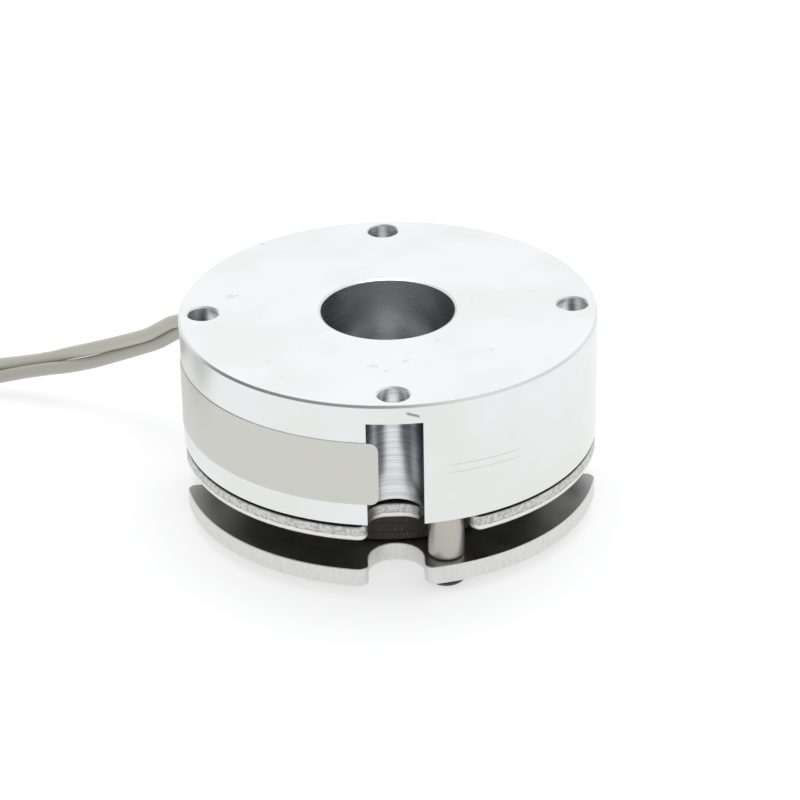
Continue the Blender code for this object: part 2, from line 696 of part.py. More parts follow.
def foil_label(look):
    """A thin curved sheet on the body's wall, with rounded corners."""
    radius = OUTER_RADIUS + LABEL_GAP
    top = BODY_TOP - LABEL_TOP_BELOW_FACE
    bottom = top - LABEL_HEIGHT
    shape = bmesh.new()
    rows = []
    for angle, inset in label_columns(radius):
        row = []
        for distance, height in (
            (radius, bottom + inset),
            (radius + LABEL_THICKNESS, bottom + inset),
            (radius + LABEL_THICKNESS, top - inset),
            (radius, top - inset),
        ):
            row.append(shape.verts.new((*polar(angle, distance), height)))
        rows.append(row)
    for near, far in zip(rows, rows[1:]):
        for corner in range(4):
            after = (corner + 1) % 4
            shape.faces.new((near[corner], near[after], far[after], far[corner]))
    shape.faces.new(rows[0])
    shape.faces.new(rows[-1][::-1])
    object_of("foil_label", mesh_of("foil_label", shape), look)


def lead_bushing(look):
    """A rubber bushing in the body's side, from the coil cavity to just outside the wall."""
    inside = COIL_OUTER_RADIUS + BUSHING_INSIDE
    outside = OUTER_RADIUS + SEAT_GAP
    flange = BUSHING_RADIUS + BUSHING_FLANGE_LIP
    profile = [
        (0, inside),
        (BUSHING_RADIUS, inside),
        (BUSHING_RADIUS, outside),
        (flange, outside),
        (flange, outside + BUSHING_FLANGE),
        (0, outside + BUSHING_FLANGE),
    ]
    shape = bmesh.new()
    add_turned(shape, profile, HOLE_SEGMENTS, lying_out(LEAD_ANGLE, BODY_TOP - LEAD_BELOW_FACE))
    object_of("lead_bushing", mesh_of("lead_bushing", shape), look)


def smooth_through(points, count):
    """Evenly spread points on a Catmull-Rom curve through the given ones."""
    ends = [2 * points[0] - points[1], *points, 2 * points[-1] - points[-2]]
    made = []
    for index in range(count):
        along = index / (count - 1) * (len(points) - 1)
        whole = min(int(along), len(points) - 2)
        t = along - whole
        a, b, c, d = ends[whole : whole + 4]
        cubic = -a + 3 * b - 3 * c + d
        square = 2 * a - 5 * b + 4 * c - d
        made.append(0.5 * (2 * b + t * (c - a) + t * t * square + t * t * t * cubic))
    return made


def lead_points(side):
    """One lead's own route beside the middle of the pair: side is 1 for the upper, -1 for the lower."""
    middle = [Vector(point) for point in LEAD_ROUTE]
    made = []
    for index, (point, lean) in enumerate(zip(middle, LEAD_LEANS)):
        before, after = middle[max(index - 1, 0)], middle[min(index + 1, len(middle) - 1)]
        along = (after - before).normalized()
        up = (Vector((0, 0, 1)) - along * along.z).normalized()
        back = along.cross(up)
        if back.y < 0:
            back.negate()
        away = up * math.cos(math.radians(lean)) + back * math.sin(math.radians(lean))
        made.append(point + away * side * LEAD_PITCH / 2)
    return made


def leads(look, tie_look):
    """Two leads to the tabletop, each wound into one layer of a coil there, and the coil's tie."""
    half = LEAD_DIAMETER / 2
    inner, outer = COIL_LAST_TURN_RADIUS - half, COIL_FIRST_TURN_RADIUS + half
    layers = (
        ("lead_lower", -1, 0.0, LEAD_DIAMETER),
        ("lead_upper", 1, LEAD_PITCH + SEAT_GAP / 2, LEAD_PITCH + LEAD_DIAMETER),
    )
    place = Matrix.Translation((*COIL_CENTRE, 0))
    for name, side, low, high in layers:
        tube_of(name, smooth_through(lead_points(side), LEAD_TUBE_POINTS), LEAD_DIAMETER, 2, look)
        shape = bmesh.new()
        profile = [(inner, low), (outer, low), (outer, high - SEAT_GAP / 2), (inner, high - SEAT_GAP / 2)]
        add_turned(shape, profile, RING_SEGMENTS, place)
        object_of(f"{name}_coil", mesh_of(f"{name}_coil", shape), look)

    top = LEAD_PITCH + LEAD_DIAMETER - SEAT_GAP / 2 + SEAT_GAP
    spread = TIE_WIDTH / 2
    left, right = inner - SEAT_GAP, outer + SEAT_GAP
    outline = [
        (left - TIE_THICKNESS, 0.0),
        (left, 0.0),
        (left, top),
        (right, top),
        (right, 0.0),
        (right + TIE_THICKNESS, 0.0),
        (right + TIE_THICKNESS, top + TIE_THICKNESS),
        (left - TIE_THICKNESS, top + TIE_THICKNESS),
    ]
    shape = bmesh.new()
    upright = Matrix.Rotation(math.radians(90), 4, "X")
    turn = Matrix.Rotation(TIE_ANGLE, 4, "Z")
    add_prism(shape, outline, -spread, spread, place @ turn @ upright)
    object_of("lead_tie", mesh_of("lead_tie", shape), tie_look)


def main():
    """Builds every piece of the brake."""
    clear_scene()
    plated = material("zinc_plated_steel", (0.82, 0.83, 0.85), 0.28, 1.0)
    stamped = material("stamped_steel", (0.66, 0.66, 0.65), 0.42, 1.0)
    black = material("black_oxide", (0.03, 0.03, 0.035), 0.45, 0.6)
    friction = material("friction_lining", (0.05, 0.047, 0.042), 0.9, 0.0)
    insulation = material("lead_insulation", (0.62, 0.61, 0.55), 0.35, 0.0)

    magnet_body(plated)
    coil(
        material("bobbin_nylon", (0.70, 0.66, 0.55), 0.5, 0.0),
        material("copper_wire", (0.72, 0.36, 0.18), 0.35, 1.0),
        material("potting_resin", (0.06, 0.05, 0.05), 0.5, 0.0),
    )
    springs(material("spring_steel", (0.55, 0.54, 0.52), 0.35, 1.0))
    armature_plate(stamped)
    friction_disc(stamped, friction)
    rotor_hub(material("hub_aluminium", (0.74, 0.74, 0.75), 0.35, 1.0), black)
    end_plate(stamped)
    spacers(material("spacer_steel", (0.70, 0.68, 0.64), 0.35, 1.0))
    cap_screws(black)
    foil_label(material("label_foil", (0.68, 0.67, 0.64), 0.4, 0.6))
    lead_bushing(material("bushing_rubber", (0.04, 0.04, 0.04), 0.7, 0.0))
    leads(insulation, material("tie_nylon", (0.80, 0.79, 0.74), 0.5, 0.0))


main()
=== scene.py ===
"""The looks of a spring-applied electromagnetic brake: fine surfaces, finishes, leads and studio.

Metres, +Z up along the brake's axis, and the front is -Y. A turn is an angle round the axis that
starts at the front and grows towards the right, +X. A round form's size is its radius, unless its
name says otherwise, and plan means seen from above.
"""

import logging
import math
from collections.abc import Sequence
from dataclasses import dataclass
from enum import Enum, IntEnum

import bmesh
import bpy
import numpy as np
from bpy.types import Material, Node, NodeSocket, NodeTree, Object
from mathutils import Matrix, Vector
from mathutils.geometry import tessellate_polygon


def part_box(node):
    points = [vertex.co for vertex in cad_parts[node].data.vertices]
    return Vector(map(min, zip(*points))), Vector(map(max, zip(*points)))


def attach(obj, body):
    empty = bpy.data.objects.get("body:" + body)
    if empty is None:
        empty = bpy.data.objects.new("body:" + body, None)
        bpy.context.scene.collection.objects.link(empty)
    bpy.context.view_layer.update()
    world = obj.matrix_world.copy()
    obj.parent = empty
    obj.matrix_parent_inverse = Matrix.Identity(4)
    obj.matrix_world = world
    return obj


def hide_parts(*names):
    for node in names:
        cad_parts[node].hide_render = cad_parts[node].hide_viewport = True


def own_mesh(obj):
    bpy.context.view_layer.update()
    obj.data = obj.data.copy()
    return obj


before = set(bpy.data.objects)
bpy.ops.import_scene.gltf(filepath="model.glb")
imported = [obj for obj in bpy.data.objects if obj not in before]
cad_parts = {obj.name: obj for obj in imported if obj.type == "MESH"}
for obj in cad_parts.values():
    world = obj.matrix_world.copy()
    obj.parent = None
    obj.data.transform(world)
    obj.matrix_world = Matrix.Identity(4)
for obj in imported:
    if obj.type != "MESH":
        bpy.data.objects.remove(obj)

Points = np.ndarray
Colour = tuple[float, float, float]
Pair = tuple[float, float]
Profile = Sequence[Pair]

log = logging.getLogger("brake")

# The brake's axis in plan
AXIS = (0.0, 0.0)
# The points of an arc lie no further apart than either
CHORD = 0.0003
COARSEST_STEP = math.radians(15)
# Points closer than this become one
JOIN = 5e-7
# A corner is sharp if the tangent of half its bend is over this
SHARP_CORNER = 0.2
# Points close up on a sharp corner from this many times as far as its mitre reaches
CLOSE_UP = 1.15
# Edges that bend by more degrees than this stay crisp
CRISP_BEND = 28.0
# Outlines are triangulated in millimetres, which keeps their small sides apart
MILLIMETRES = 1000.0
# The steps of a thread, and of a screw's faces, round its axis and up one pitch
THREAD_SIDES = 24
THREAD_RISE_STEPS = 8
# The notches and mounting holes are at the first turns, the sleeves and screws at the second ones
MOUNT_TURNS = tuple(math.radians(turn) for turn in (0, 90, 180, 270))
SCREW_TURNS = tuple(math.radians(turn) for turn in (15.4, 135.4, 255.4))
SCREW_CIRCLE = 0.0252
SPRING_COUNT = 6
SPRING_CIRCLE = 0.0112
# The plates and the housing share their radius and the width of their notches
RIM = 0.028575
NOTCH_HALF_WIDTH = 0.00375
# How many finer layers the noise of most finishes has
NOISE_DETAIL = 3.0


class Body(Enum):
    """The bodies that move on their own."""

    STATOR = "stator"
    ARMATURE = "armature"
    ROTOR = "rotor"
    DISC = "disc"


class Side(Enum):
    """The two sides of a notch: near is where turns are smaller."""

    NEAR = -1
    FAR = 1


class Lead(Enum):
    """The two leads, by the side of the pair's middle that each lies on."""

    UPPER = 1
    LOWER = -1


class HousingLook(IntEnum):
    """The housing's materials, in their order on it."""

    TURNED = 0
    MILLED = 1
    BORED = 2
    WALL = 3
    DRILLED = 4


class PlateLook(IntEnum):
    """A stamped plate's materials, in their order on it."""

    EDGE = 0
    # The faces take the darker copy of the steel, which is painted shade
    FACE = 1
    ROLLED = 2


def rotated(points: Points, turn: float) -> Points:
    """Turns points in plan round the axis: (x cos t - y sin t, x sin t + y cos t).

    Args:
        points: rows of (x, y), or one.
        turn: the angle t in radians.

    Returns:
        The turned points.
    """
    x, y = points[..., 0], points[..., 1]
    cosine, sine = math.cos(turn), math.sin(turn)
    return np.stack([x * cosine - y * sine, x * sine + y * cosine], axis=-1)


def at_turn(turn: float, radius: float) -> Points:
    """The point in plan at a turn and a distance from the axis."""
    return rotated(np.array([0.0, -radius]), turn)


def direction(turn: float, rise: float) -> Points:
    """The direction at a turn t and an elevation e: (sin t cos e, -cos t cos e, sin e)."""
    across = math.cos(rise)
    return np.array([math.sin(turn) * across, -math.cos(turn) * across, math.sin(rise)])


def unit(vectors: Points) -> Points:
    """Vectors of length 1 that point where the given ones do."""
    return vectors / np.linalg.norm(vectors, axis=-1, keepdims=True)


def arc(centre: Sequence[float], radius: float, start: float, end: float) -> Points:
    """Points on an arc in plan, both ends included: centre + radius (cos a, sin a).

    Args:
        centre: the arc's centre.
        radius: its radius.
        start: the first angle from +X, in radians.
        end: the last one.

    Returns:
        Rows of (x, y), no further apart than CHORD or COARSEST_STEP.
    """
    step = min(COARSEST_STEP, CHORD / radius)
    angles = np.linspace(start, end, math.ceil(abs(end - start) / step) + 1)
    return np.array(centre) + radius * np.stack([np.cos(angles), np.sin(angles)], axis=1)


def ring(radius: float, count: int, centre: Sequence[float] = AXIS) -> Points:
    """A closed circle in plan without its repeated last point: centre + radius (cos a, sin a)."""
    angles = np.arange(count) * math.tau / count
    return np.array(centre) + radius * np.stack([np.cos(angles), np.sin(angles)], axis=1)


def hexagon(flats: float, centre: Sequence[float] = AXIS) -> Points:
    """A hexagon in plan by the distance between its flats, with a corner towards +X."""
    return ring(flats / 2 / math.cos(math.pi / 6), 6, centre)


def rounded_box(low: Sequence[float], high: Sequence[float], corner: float) -> Points:
    """A rectangle's outline with rounded corners, anticlockwise.

    Args:
        low: its lowest (x, y).
        high: its highest (x, y).
        corner: the radius of its corners.

    Returns:
        The outline's points.
    """
    centres = ((high[0] - corner, high[1] - corner), (low[0] + corner, high[1] - corner),
               (low[0] + corner, low[1] + corner), (high[0] - corner, low[1] + corner))
    return np.concatenate([arc(centre, corner, index * math.pi / 2, (index + 1) * math.pi / 2)
                           for index, centre in enumerate(centres)])


def level(plan: Points, height: float) -> Points:
    """Points in plan at one height."""
    return np.column_stack([plan, np.full(len(plan), height)])


def upright(outline: Points, first: float, last: float) -> Points:
    """A wall over an outline: its points at two heights.

    Args:
        outline: the closed outline, its first point not repeated.
        first: the height that the wall starts from.
        last: the height that it goes to.

    Returns:
        The net of points, its first row repeated at the end.
    """
    loop = np.concatenate([outline, outline[:1]])
    return np.stack([level(loop, first), level(loop, last)], axis=1)


def turned(profile: Profile, count: int, centre: Sequence[float] = AXIS) -> Points:
    """A surface of revolution: point (i, j) is centre + r_j (cos a_i, sin a_i) at height z_j.

    Args:
        profile: the (r, z) of each step j.
        count: how many steps i go round.
        centre: the axis in plan.

    Returns:
        The net of points, its first row repeated at the end.
    """
    radius, height = np.array(profile).T
    angle = np.linspace(0, math.tau, count + 1)[:, None]
    return np.stack([centre[0] + radius * np.cos(angle), centre[1] + radius * np.sin(angle),
                     np.broadcast_to(height, (count + 1, len(height)))], axis=-1)


def carried(outline: Points, profile: Profile) -> Points:
    """A profile carried round an outline: each point moves in along its corner's mitre.

    With n and m the outward normals of the two sides that meet at a corner, the corner moves by
    -2 inset (n + m) / |n + m|^2, which keeps both new sides at the inset from the old ones. With t
    the angle between n and m, points within inset tan(t / 2) of a sharp corner close up on the
    corner's point, so that the net doesn't fold.

    Args:
        outline: a closed outline that runs anticlockwise, or clockwise round a hole.
        profile: the (inset, height) of each step.

    Returns:
        The net of points, its first row repeated at the end.
    """
    ahead = np.roll(outline, -1, axis=0) - outline
    side = np.linalg.norm(ahead, axis=1)
    ahead /= side[:, None]
    out = np.stack([ahead[:, 1], -ahead[:, 0]], axis=1)
    last = np.roll(out, 1, axis=0)
    both = out + last
    mitre = 2 * both / (both**2).sum(axis=1, keepdims=True)
    inset, height = np.array(profile).T
    plan = outline[:, None] - mitre[:, None] * inset[:, None]
    sharpness = (last[:, 0] * out[:, 1] - last[:, 1] * out[:, 0]) / (1 + (out * last).sum(axis=1))
    along, whole = np.cumsum(side) - side, side.sum()
    for corner in np.flatnonzero(sharpness > SHARP_CORNER):
        away = np.abs((along - along[corner] + whole / 2) % whole - whole / 2)
        closed_up = away[:, None] < CLOSE_UP * sharpness[corner] * inset
        plan = np.where(closed_up[..., None], plan[corner], plan)
    net = np.concatenate([plan, np.broadcast_to(height[:, None], (*plan.shape[:2], 1))], axis=-1)
    return np.concatenate([net, net[:1]])


def rounded_edge(inset: float, edge: float, height: float, rise: float,
                 steps: int = 4) -> list[Pair]:
    """A quarter round for a profile, from an edge's flat face out to its wall.

    Args:
        inset: the inset of the wall.
        edge: the radius of the round.
        height: the height of the flat face.
        rise: 1 where the wall goes up from the face, -1 where it goes down.
        steps: how many straight steps it has.

    Returns:
        The (inset, height) of each point: inset + edge (1 - sin a), height + rise edge (1 - cos a).
    """
    angles = np.linspace(0, math.pi / 2, steps + 1)
    return [(inset + edge * (1 - math.sin(angle)), height + rise * edge * (1 - math.cos(angle)))
            for angle in angles]


def lying_out(points: Points, turn: float, height: float) -> Points:
    """Lays a shape's +Z along the way out from the axis: x goes round it and y goes up.

    Args:
        points: the upright shape's points.
        turn: the turn that its axis points to.
        height: the height of its axis.

    Returns:
        The laid points.
    """
    out, along = direction(turn, 0), direction(turn + math.pi / 2, 0)
    up = np.array([0.0, 0.0, 1.0])
    return points[..., 2:] * out + points[..., :1] * along + points[..., 1:2] * up + up * height


def smooth_through(points: Points, count: int) -> Points:
    """Evenly spread points on a Catmull-Rom curve through the given ones.

    With a, b, c, d the neighbours and t from b to c, a point is half of
    2b + t (c - a) + t^2 (2a - 5b + 4c - d) + t^3 (-a + 3b - 3c + d).

    Args:
        points: the points to pass through.
        count: how many to return.

    Returns:
        The points of the curve.
    """
    ends = np.concatenate([[2 * points[0] - points[1]], points, [2 * points[-1] - points[-2]]])
    along = np.linspace(0, len(points) - 1, count)
    whole = np.minimum(along.astype(int), len(points) - 2)
    t = (along - whole)[:, None]
    a, b, c, d = (ends[whole + step] for step in range(4))
    cubic = -a + 3 * b - 3 * c + d
    return 0.5 * (2 * b + t * (c - a) + t**2 * (2 * a - 5 * b + 4 * c - d) + t**3 * cubic)


def cross_axes(path: Points) -> tuple[Points, Points]:
    """Two directions square to a path and to each other, for each of its points.

    Args:
        path: rows of (x, y, z), nowhere upright.

    Returns:
        The one that is also square to +Z, and the one that points up.
    """
    ahead = unit(np.gradient(path, axis=0))
    side = unit(np.cross(ahead, (0, 0, 1)))
    return side, np.cross(side, ahead)


def tube(path: Points, radius: float, sides: int) -> Points:
    """A round section carried along a path: path + radius (side cos a + up sin a).

    Args:
        path: rows of (x, y, z), nowhere upright.
        radius: the section's radius.
        sides: how many flat sides it has.

    Returns:
        A net of points, one ring for each point of the path.
    """
    side, up = cross_axes(path)
    angle = np.linspace(0, math.tau, sides + 1)[None, :, None]
    return path[:, None] + radius * (side[:, None] * np.cos(angle) + up[:, None] * np.sin(angle))


def threaded(radius: float, pitch: float, depth: float, low: float, high: float) -> Points:
    """A screw thread: the radius falls by depth |2 frac(z / pitch - a / 2 pi) - 1|.

    The groove fades out over half a turn at both ends.

    Args:
        radius: the ridge's radius.
        pitch: the height of one turn.
        depth: how deep the groove is.
        low: the height of the lower end.
        high: the height of the upper end.

    Returns:
        The net of points, which meets rings of THREAD_SIDES points at both ends.
    """
    angle = np.linspace(0, math.tau, THREAD_SIDES + 1)[:, None]
    height = np.linspace(low, high, math.ceil((high - low) / pitch * THREAD_RISE_STEPS))[None, :]
    groove = np.abs(2 * ((height / pitch - angle / math.tau) % 1) - 1)
    fade = np.clip(np.minimum(height - low, high - height) / pitch * 2, 0, 1)
    reach = radius - depth * groove * fade
    return np.stack([reach * np.cos(angle), reach * np.sin(angle), height + 0 * angle], axis=-1)


@dataclass(frozen=True)
class Bite:
    """A notch in a round rim: straight walls, a floor with rounded corners and a rounded mouth."""

    turn: float
    half_width: float
    floor: float
    corner: float
    mouth: float = 0.0

    def corner_centre(self, side: Side) -> Points:
        """The centre of the floor's corner on one side, in plan."""
        own = np.array([side.value * (self.half_width - self.corner), -(self.floor + self.corner)])
        return rotated(own, self.turn)

    def half(self, rim: float, meets: float | None) -> Points:
        """One half of the notch, drawn at the front's right side.

        Args:
            rim: the plate's radius.
            meets: where the floor's corner runs into the next notch, as an angle on that corner.

        Returns:
            Points from the rim, or from the next notch, in to the middle of the floor.
        """
        inset = self.half_width - self.corner
        centre = (inset, -(self.floor + self.corner))
        floor = arc(centre, self.corner, meets or 0.0, math.pi / 2)
        if meets is not None:
            return floor
        if not self.mouth:
            edge = (self.half_width, -math.sqrt(rim**2 - self.half_width**2))
            return np.concatenate([[edge], floor])
        x = self.half_width + self.mouth
        y = -math.sqrt((rim - self.mouth) ** 2 - x**2)
        return np.concatenate([arc((x, y), self.mouth, math.atan2(y, x), -math.pi), floor])

    def meets(self, other: "Bite", side: Side) -> float | None:
        """Where this notch runs into another.

        With d the distance between the two corner circles' centres, they cross at
        (d^2 + r^2 - s^2) / 2d along the line between the centres, r and s being their radii. The
        crossing nearer the axis counts.

        Args:
            other: the next notch.
            side: the side that it lies on.

        Returns:
            The crossing's angle on this notch's corner, or None where the notches stay apart.
        """
        own = self.corner_centre(side)
        apart = other.corner_centre(Side(-side.value)) - own
        distance = float(np.hypot(*apart))
        if distance >= self.corner + other.corner or distance == 0:
            return None
        along = (distance**2 + self.corner**2 - other.corner**2) / (2 * distance)
        across = math.sqrt(self.corner**2 - along**2)
        ahead = apart / distance
        square = np.array([-ahead[1], ahead[0]])
        found = min((ahead * along + square * across, ahead * along - square * across),
                    key=lambda point: np.hypot(*(own + point)))
        x, y = rotated(found, -self.turn)
        return math.atan2(y, side.value * x)

    def path(self, rim: float, before: "Bite", after: "Bite") -> Points:
        """The notch's whole path, anticlockwise round the plate.

        Args:
            rim: the plate's radius.
            before: the notch before it.
            after: the notch after it.

        Returns:
            The path's points.
        """
        near = self.half(rim, self.meets(before, Side.NEAR)) * (-1, 1)
        far = self.half(rim, self.meets(after, Side.FAR))[::-1]
        skip = 1 if np.allclose(near[-1], far[0]) else 0
        return rotated(np.concatenate([near, far[skip:]]), self.turn)


@dataclass(frozen=True)
class NotchedRim:
    """A round rim with notches: each notch's path and the stretch of rim that follows it."""

    rim: float
    bites: tuple[Bite, ...]

    def stretches(self) -> list[tuple[Points, Points]]:
        """Cuts the outline up into notches and stretches of rim.

        Returns:
            Each notch's path, and the inner points of the rim from it to the next notch.
        """
        ordered = sorted(self.bites, key=lambda bite: bite.turn)
        before, after = ordered[-1:] + ordered[:-1], ordered[1:] + ordered[:1]
        paths = [bite.path(self.rim, *beside) for bite, *beside in zip(ordered, before, after)]
        return [(path, self.rim_between(path[-1], following[0]))
                for path, following in zip(paths, paths[1:] + paths[:1])]

    def rim_between(self, start: Points, end: Points) -> Points:
        """The rim's arc from one of its points to another.

        Args:
            start: the first point.
            end: the last one.

        Returns:
            The arc's inner points, none where the two are one.
        """
        if np.allclose(start, end, atol=JOIN):
            return np.empty((0, 2))
        first, last = (math.atan2(point[1], point[0]) for point in (start, end))
        return arc((0, 0), self.rim, first, first + (last - first) % math.tau)[1:-1]

    def outline(self) -> tuple[Points, Points]:
        """The plate's outline.

        Returns:
            Its points, and for each whether the edge that starts there belongs to a notch.
        """
        points, cut = [], []
        for path, land in self.stretches():
            joined = not len(land)
            points += [path[:-1] if joined else path, land]
            cut += [True] * (len(path) - 1) + ([] if joined else [False] * (len(land) + 1))
        return np.concatenate(points), np.array(cut)


class Skin:
    """A surface made of nets and flat faces, which become one closed mesh where they meet.

    Its UV map, surface, goes from 0 to 1 both ways over each net, for patterns that follow it.
    """

    def __init__(self) -> None:
        """Starts an empty surface."""
        self.points: list[Points] = []
        self.places: list[Points] = []
        self.faces: list[list[int]] = []
        self.looks: list[int] = []
        self.count = 0

    def _add(self, points: Points, faces: Points, looks: Points, places: Points) -> "Skin":
        """Adds points and faces.

        Args:
            points: rows of (x, y, z).
            faces: rows of numbers of these points, from 0.
            looks: the material's number for each face.
            places: the (u, v) of each point on its own net.

        Returns:
            The skin itself.
        """
        self.points.append(points)
        self.places.append(places)
        self.faces += (faces + self.count).tolist()
        self.looks += looks.tolist()
        self.count += len(points)
        return self

    def net(self, points: Points, look: int | Points = 0) -> "Skin":
        """Adds a net of quads over points[i, j].

        Args:
            points: one row of points for each step of the first parameter.
            look: which of the piece's materials it takes, one number or one for each row of quads.

        Returns:
            The skin itself.
        """
        rows, columns = points.shape[:2]
        index = np.arange(rows * columns).reshape(rows, columns)
        quads = np.stack([index[:-1, :-1], index[1:, :-1], index[1:, 1:], index[:-1, 1:]], axis=-1)
        steps = np.meshgrid(np.linspace(0, 1, rows), np.linspace(0, 1, columns), indexing="ij")
        places = np.stack(steps, axis=-1).reshape(-1, 2)
        looks = np.repeat(np.broadcast_to(look, rows - 1), columns - 1)
        return self._add(points.reshape(-1, 3), quads.reshape(-1, 4), looks, places)

    def flat(self, height: float, outline: Points, holes: Sequence[Points] = (), look: int = 0,
             laid: Pair | None = None) -> "Skin":
        """Adds a flat face with holes.

        Args:
            height: its height.
            outline: its outline in plan.
            holes: the outlines of its holes.
            look: which of the piece's materials it takes.
            laid: the turn and height of the axis that it lies square to, if it isn't level.

        Returns:
            The skin itself.
        """
        loops = [level(loop * MILLIMETRES, 0).tolist() for loop in (outline, *holes)]
        faces = np.array(tessellate_polygon(loops))
        points = level(np.concatenate([outline, *holes]), height)
        if laid:
            points = lying_out(points, *laid)
        return self._add(points, faces, np.full(len(faces), look), np.zeros((len(points), 2)))

    def cap(self, loop: Points) -> "Skin":
        """Closes a loop with a fan about its middle.

        Args:
            loop: its points, the first repeated at the end.

        Returns:
            The skin itself.
        """
        first = np.arange(len(loop) - 1)
        fan = np.stack([first, first + 1, np.full_like(first, len(loop))], axis=1)
        points = np.concatenate([loop, [loop[:-1].mean(axis=0)]])
        return self._add(points, fan, np.zeros(len(fan), dtype=int), np.zeros((len(points), 2)))

    def rod(self, net: Points) -> "Skin":
        """Adds a net whose rows are rings, closed at its first and last row."""
        return self.net(net).cap(net[0]).cap(net[-1])

    def drum(self, net: Points) -> "Skin":
        """Adds a net whose columns are rings, closed at its first and last column."""
        return self.net(net).cap(net[:, 0]).cap(net[:, -1])

    def piece(self, name: str, finishes: Sequence["Finish"], sharp: float = CRISP_BEND) -> Object:
        """Joins the surface into one mesh whose faces point out.

        Args:
            name: the piece's name.
            finishes: its materials, in the order that look numbers them.
            sharp: edges that bend more than this many degrees stay crisp.

        Returns:
            The new object, linked to the scene.
        """
        mesh = bpy.data.meshes.new(name)
        mesh.from_pydata(np.concatenate(self.points), [], self.faces)
        mesh.polygons.foreach_set("material_index", self.looks)
        corners = np.empty(len(mesh.loops), dtype=np.int32)
        mesh.loops.foreach_get("vertex_index", corners)
        layer = mesh.uv_layers.new(name="surface")
        layer.data.foreach_set("uv", np.concatenate(self.places)[corners].ravel())
        shape = bmesh.new()
        shape.from_mesh(mesh)
        bmesh.ops.remove_doubles(shape, verts=shape.verts, dist=JOIN)
        bmesh.ops.recalc_face_normals(shape, faces=shape.faces)
        shape.to_mesh(mesh)
        shape.free()
        mesh.shade_smooth()
        mesh.set_sharp_from_angle(angle=math.radians(sharp))
        for finish in finishes:
            mesh.materials.append(finish.material())
        return linked(bpy.data.objects.new(name, mesh))


def linked(made: Object) -> Object:
    """Puts an object in the scene."""
    bpy.context.scene.collection.objects.link(made)
    return made


def bored(made: Object, tools: Sequence["Skin"]) -> Object:
    """Cuts holes through a piece with exact Booleans, which are applied to its mesh.

    Args:
        made: the piece.
        tools: the closed shapes to take away.

    Returns:
        The piece.
    """
    helpers = [tool.piece(f"{made.name}_tool_{index}", []) for index, tool in enumerate(tools)]
    for helper in helpers:
        cut = made.modifiers.new(helper.name, "BOOLEAN")
        cut.operation, cut.solver, cut.object = "DIFFERENCE", "EXACT", helper
    ready = bpy.context.evaluated_depsgraph_get()
    solid = bpy.data.meshes.new_from_object(made.evaluated_get(ready))
    made.modifiers.clear()
    made.data = solid
    solid.name = made.name
    for helper in helpers:
        bpy.data.objects.remove(helper)
    return made


def even_normals(made: Object) -> Object:
    """Lets the large flat faces of a piece rule its smooth shading.

    Args:
        made: the piece.

    Returns:
        The piece.
    """
    weighted = made.modifiers.new("even_normals", "WEIGHTED_NORMAL")
    weighted.keep_sharp = True
    return made


class Signal:
    """A number in a node tree: arithmetic on it adds Math nodes."""

    def __init__(self, graph: "Graph", socket: NodeSocket) -> None:
        """Wraps a number's socket."""
        self.graph = graph
        self.socket = socket

    def _math(self, operation: str, *values: "Signal | float") -> "Signal":
        """Adds a Math node."""
        made = self.graph.node("ShaderNodeMath", {"operation": operation}, dict(enumerate(values)))
        return Signal(self.graph, made.outputs[0])

    def __add__(self, other: "Signal | float") -> "Signal":
        """self + other."""
        return self._math("ADD", self, other)

    __radd__ = __add__

    def __mul__(self, other: "Signal | float") -> "Signal":
        """self times other."""
        return self._math("MULTIPLY", self, other)

    __rmul__ = __mul__

    def __sub__(self, other: "Signal | float") -> "Signal":
        """self - other."""
        return self._math("SUBTRACT", self, other)

    def __rsub__(self, other: float) -> "Signal":
        """other - self."""
        return self._math("SUBTRACT", other, self)

    def __truediv__(self, other: "Signal | float") -> "Signal":
        """self / other."""
        return self._math("DIVIDE", self, other)

    def __pow__(self, other: float) -> "Signal":
        """self to the power of other."""
        return self._math("POWER", self, other)

    def __abs__(self) -> "Signal":
        """self without its sign."""
        return self._math("ABSOLUTE", self)

    def angle_from(self, other: "Signal") -> "Signal":
        """The angle whose sine is self and whose cosine is other, from -pi to pi."""
        return self._math("ARCTAN2", self, other)

    def at_most(self, other: "Signal | float") -> "Signal":
        """The smaller of two."""
        return self._math("MINIMUM", self, other)

    def rise(self, low: float, high: float) -> "Signal":
        """A smooth step of self.

        Args:
            low: where it is 0.
            high: where it is 1, which may be less than low.

        Returns:
            The step, level beyond both.
        """
        falls = low > high
        made = self.graph.node(
            "ShaderNodeMapRange",
            {"interpolation_type": "SMOOTHSTEP"},
            {"Value": self, "From Min": min(low, high), "From Max": max(low, high),
             "To Min": float(falls), "To Max": float(not falls)},
        )
        return Signal(self.graph, made.outputs[0])

    def near(self, middle: float, reach: float) -> "Signal":
        """1 at the middle, and 0 from reach away on either side."""
        return abs(self - middle).rise(reach, 0.0)


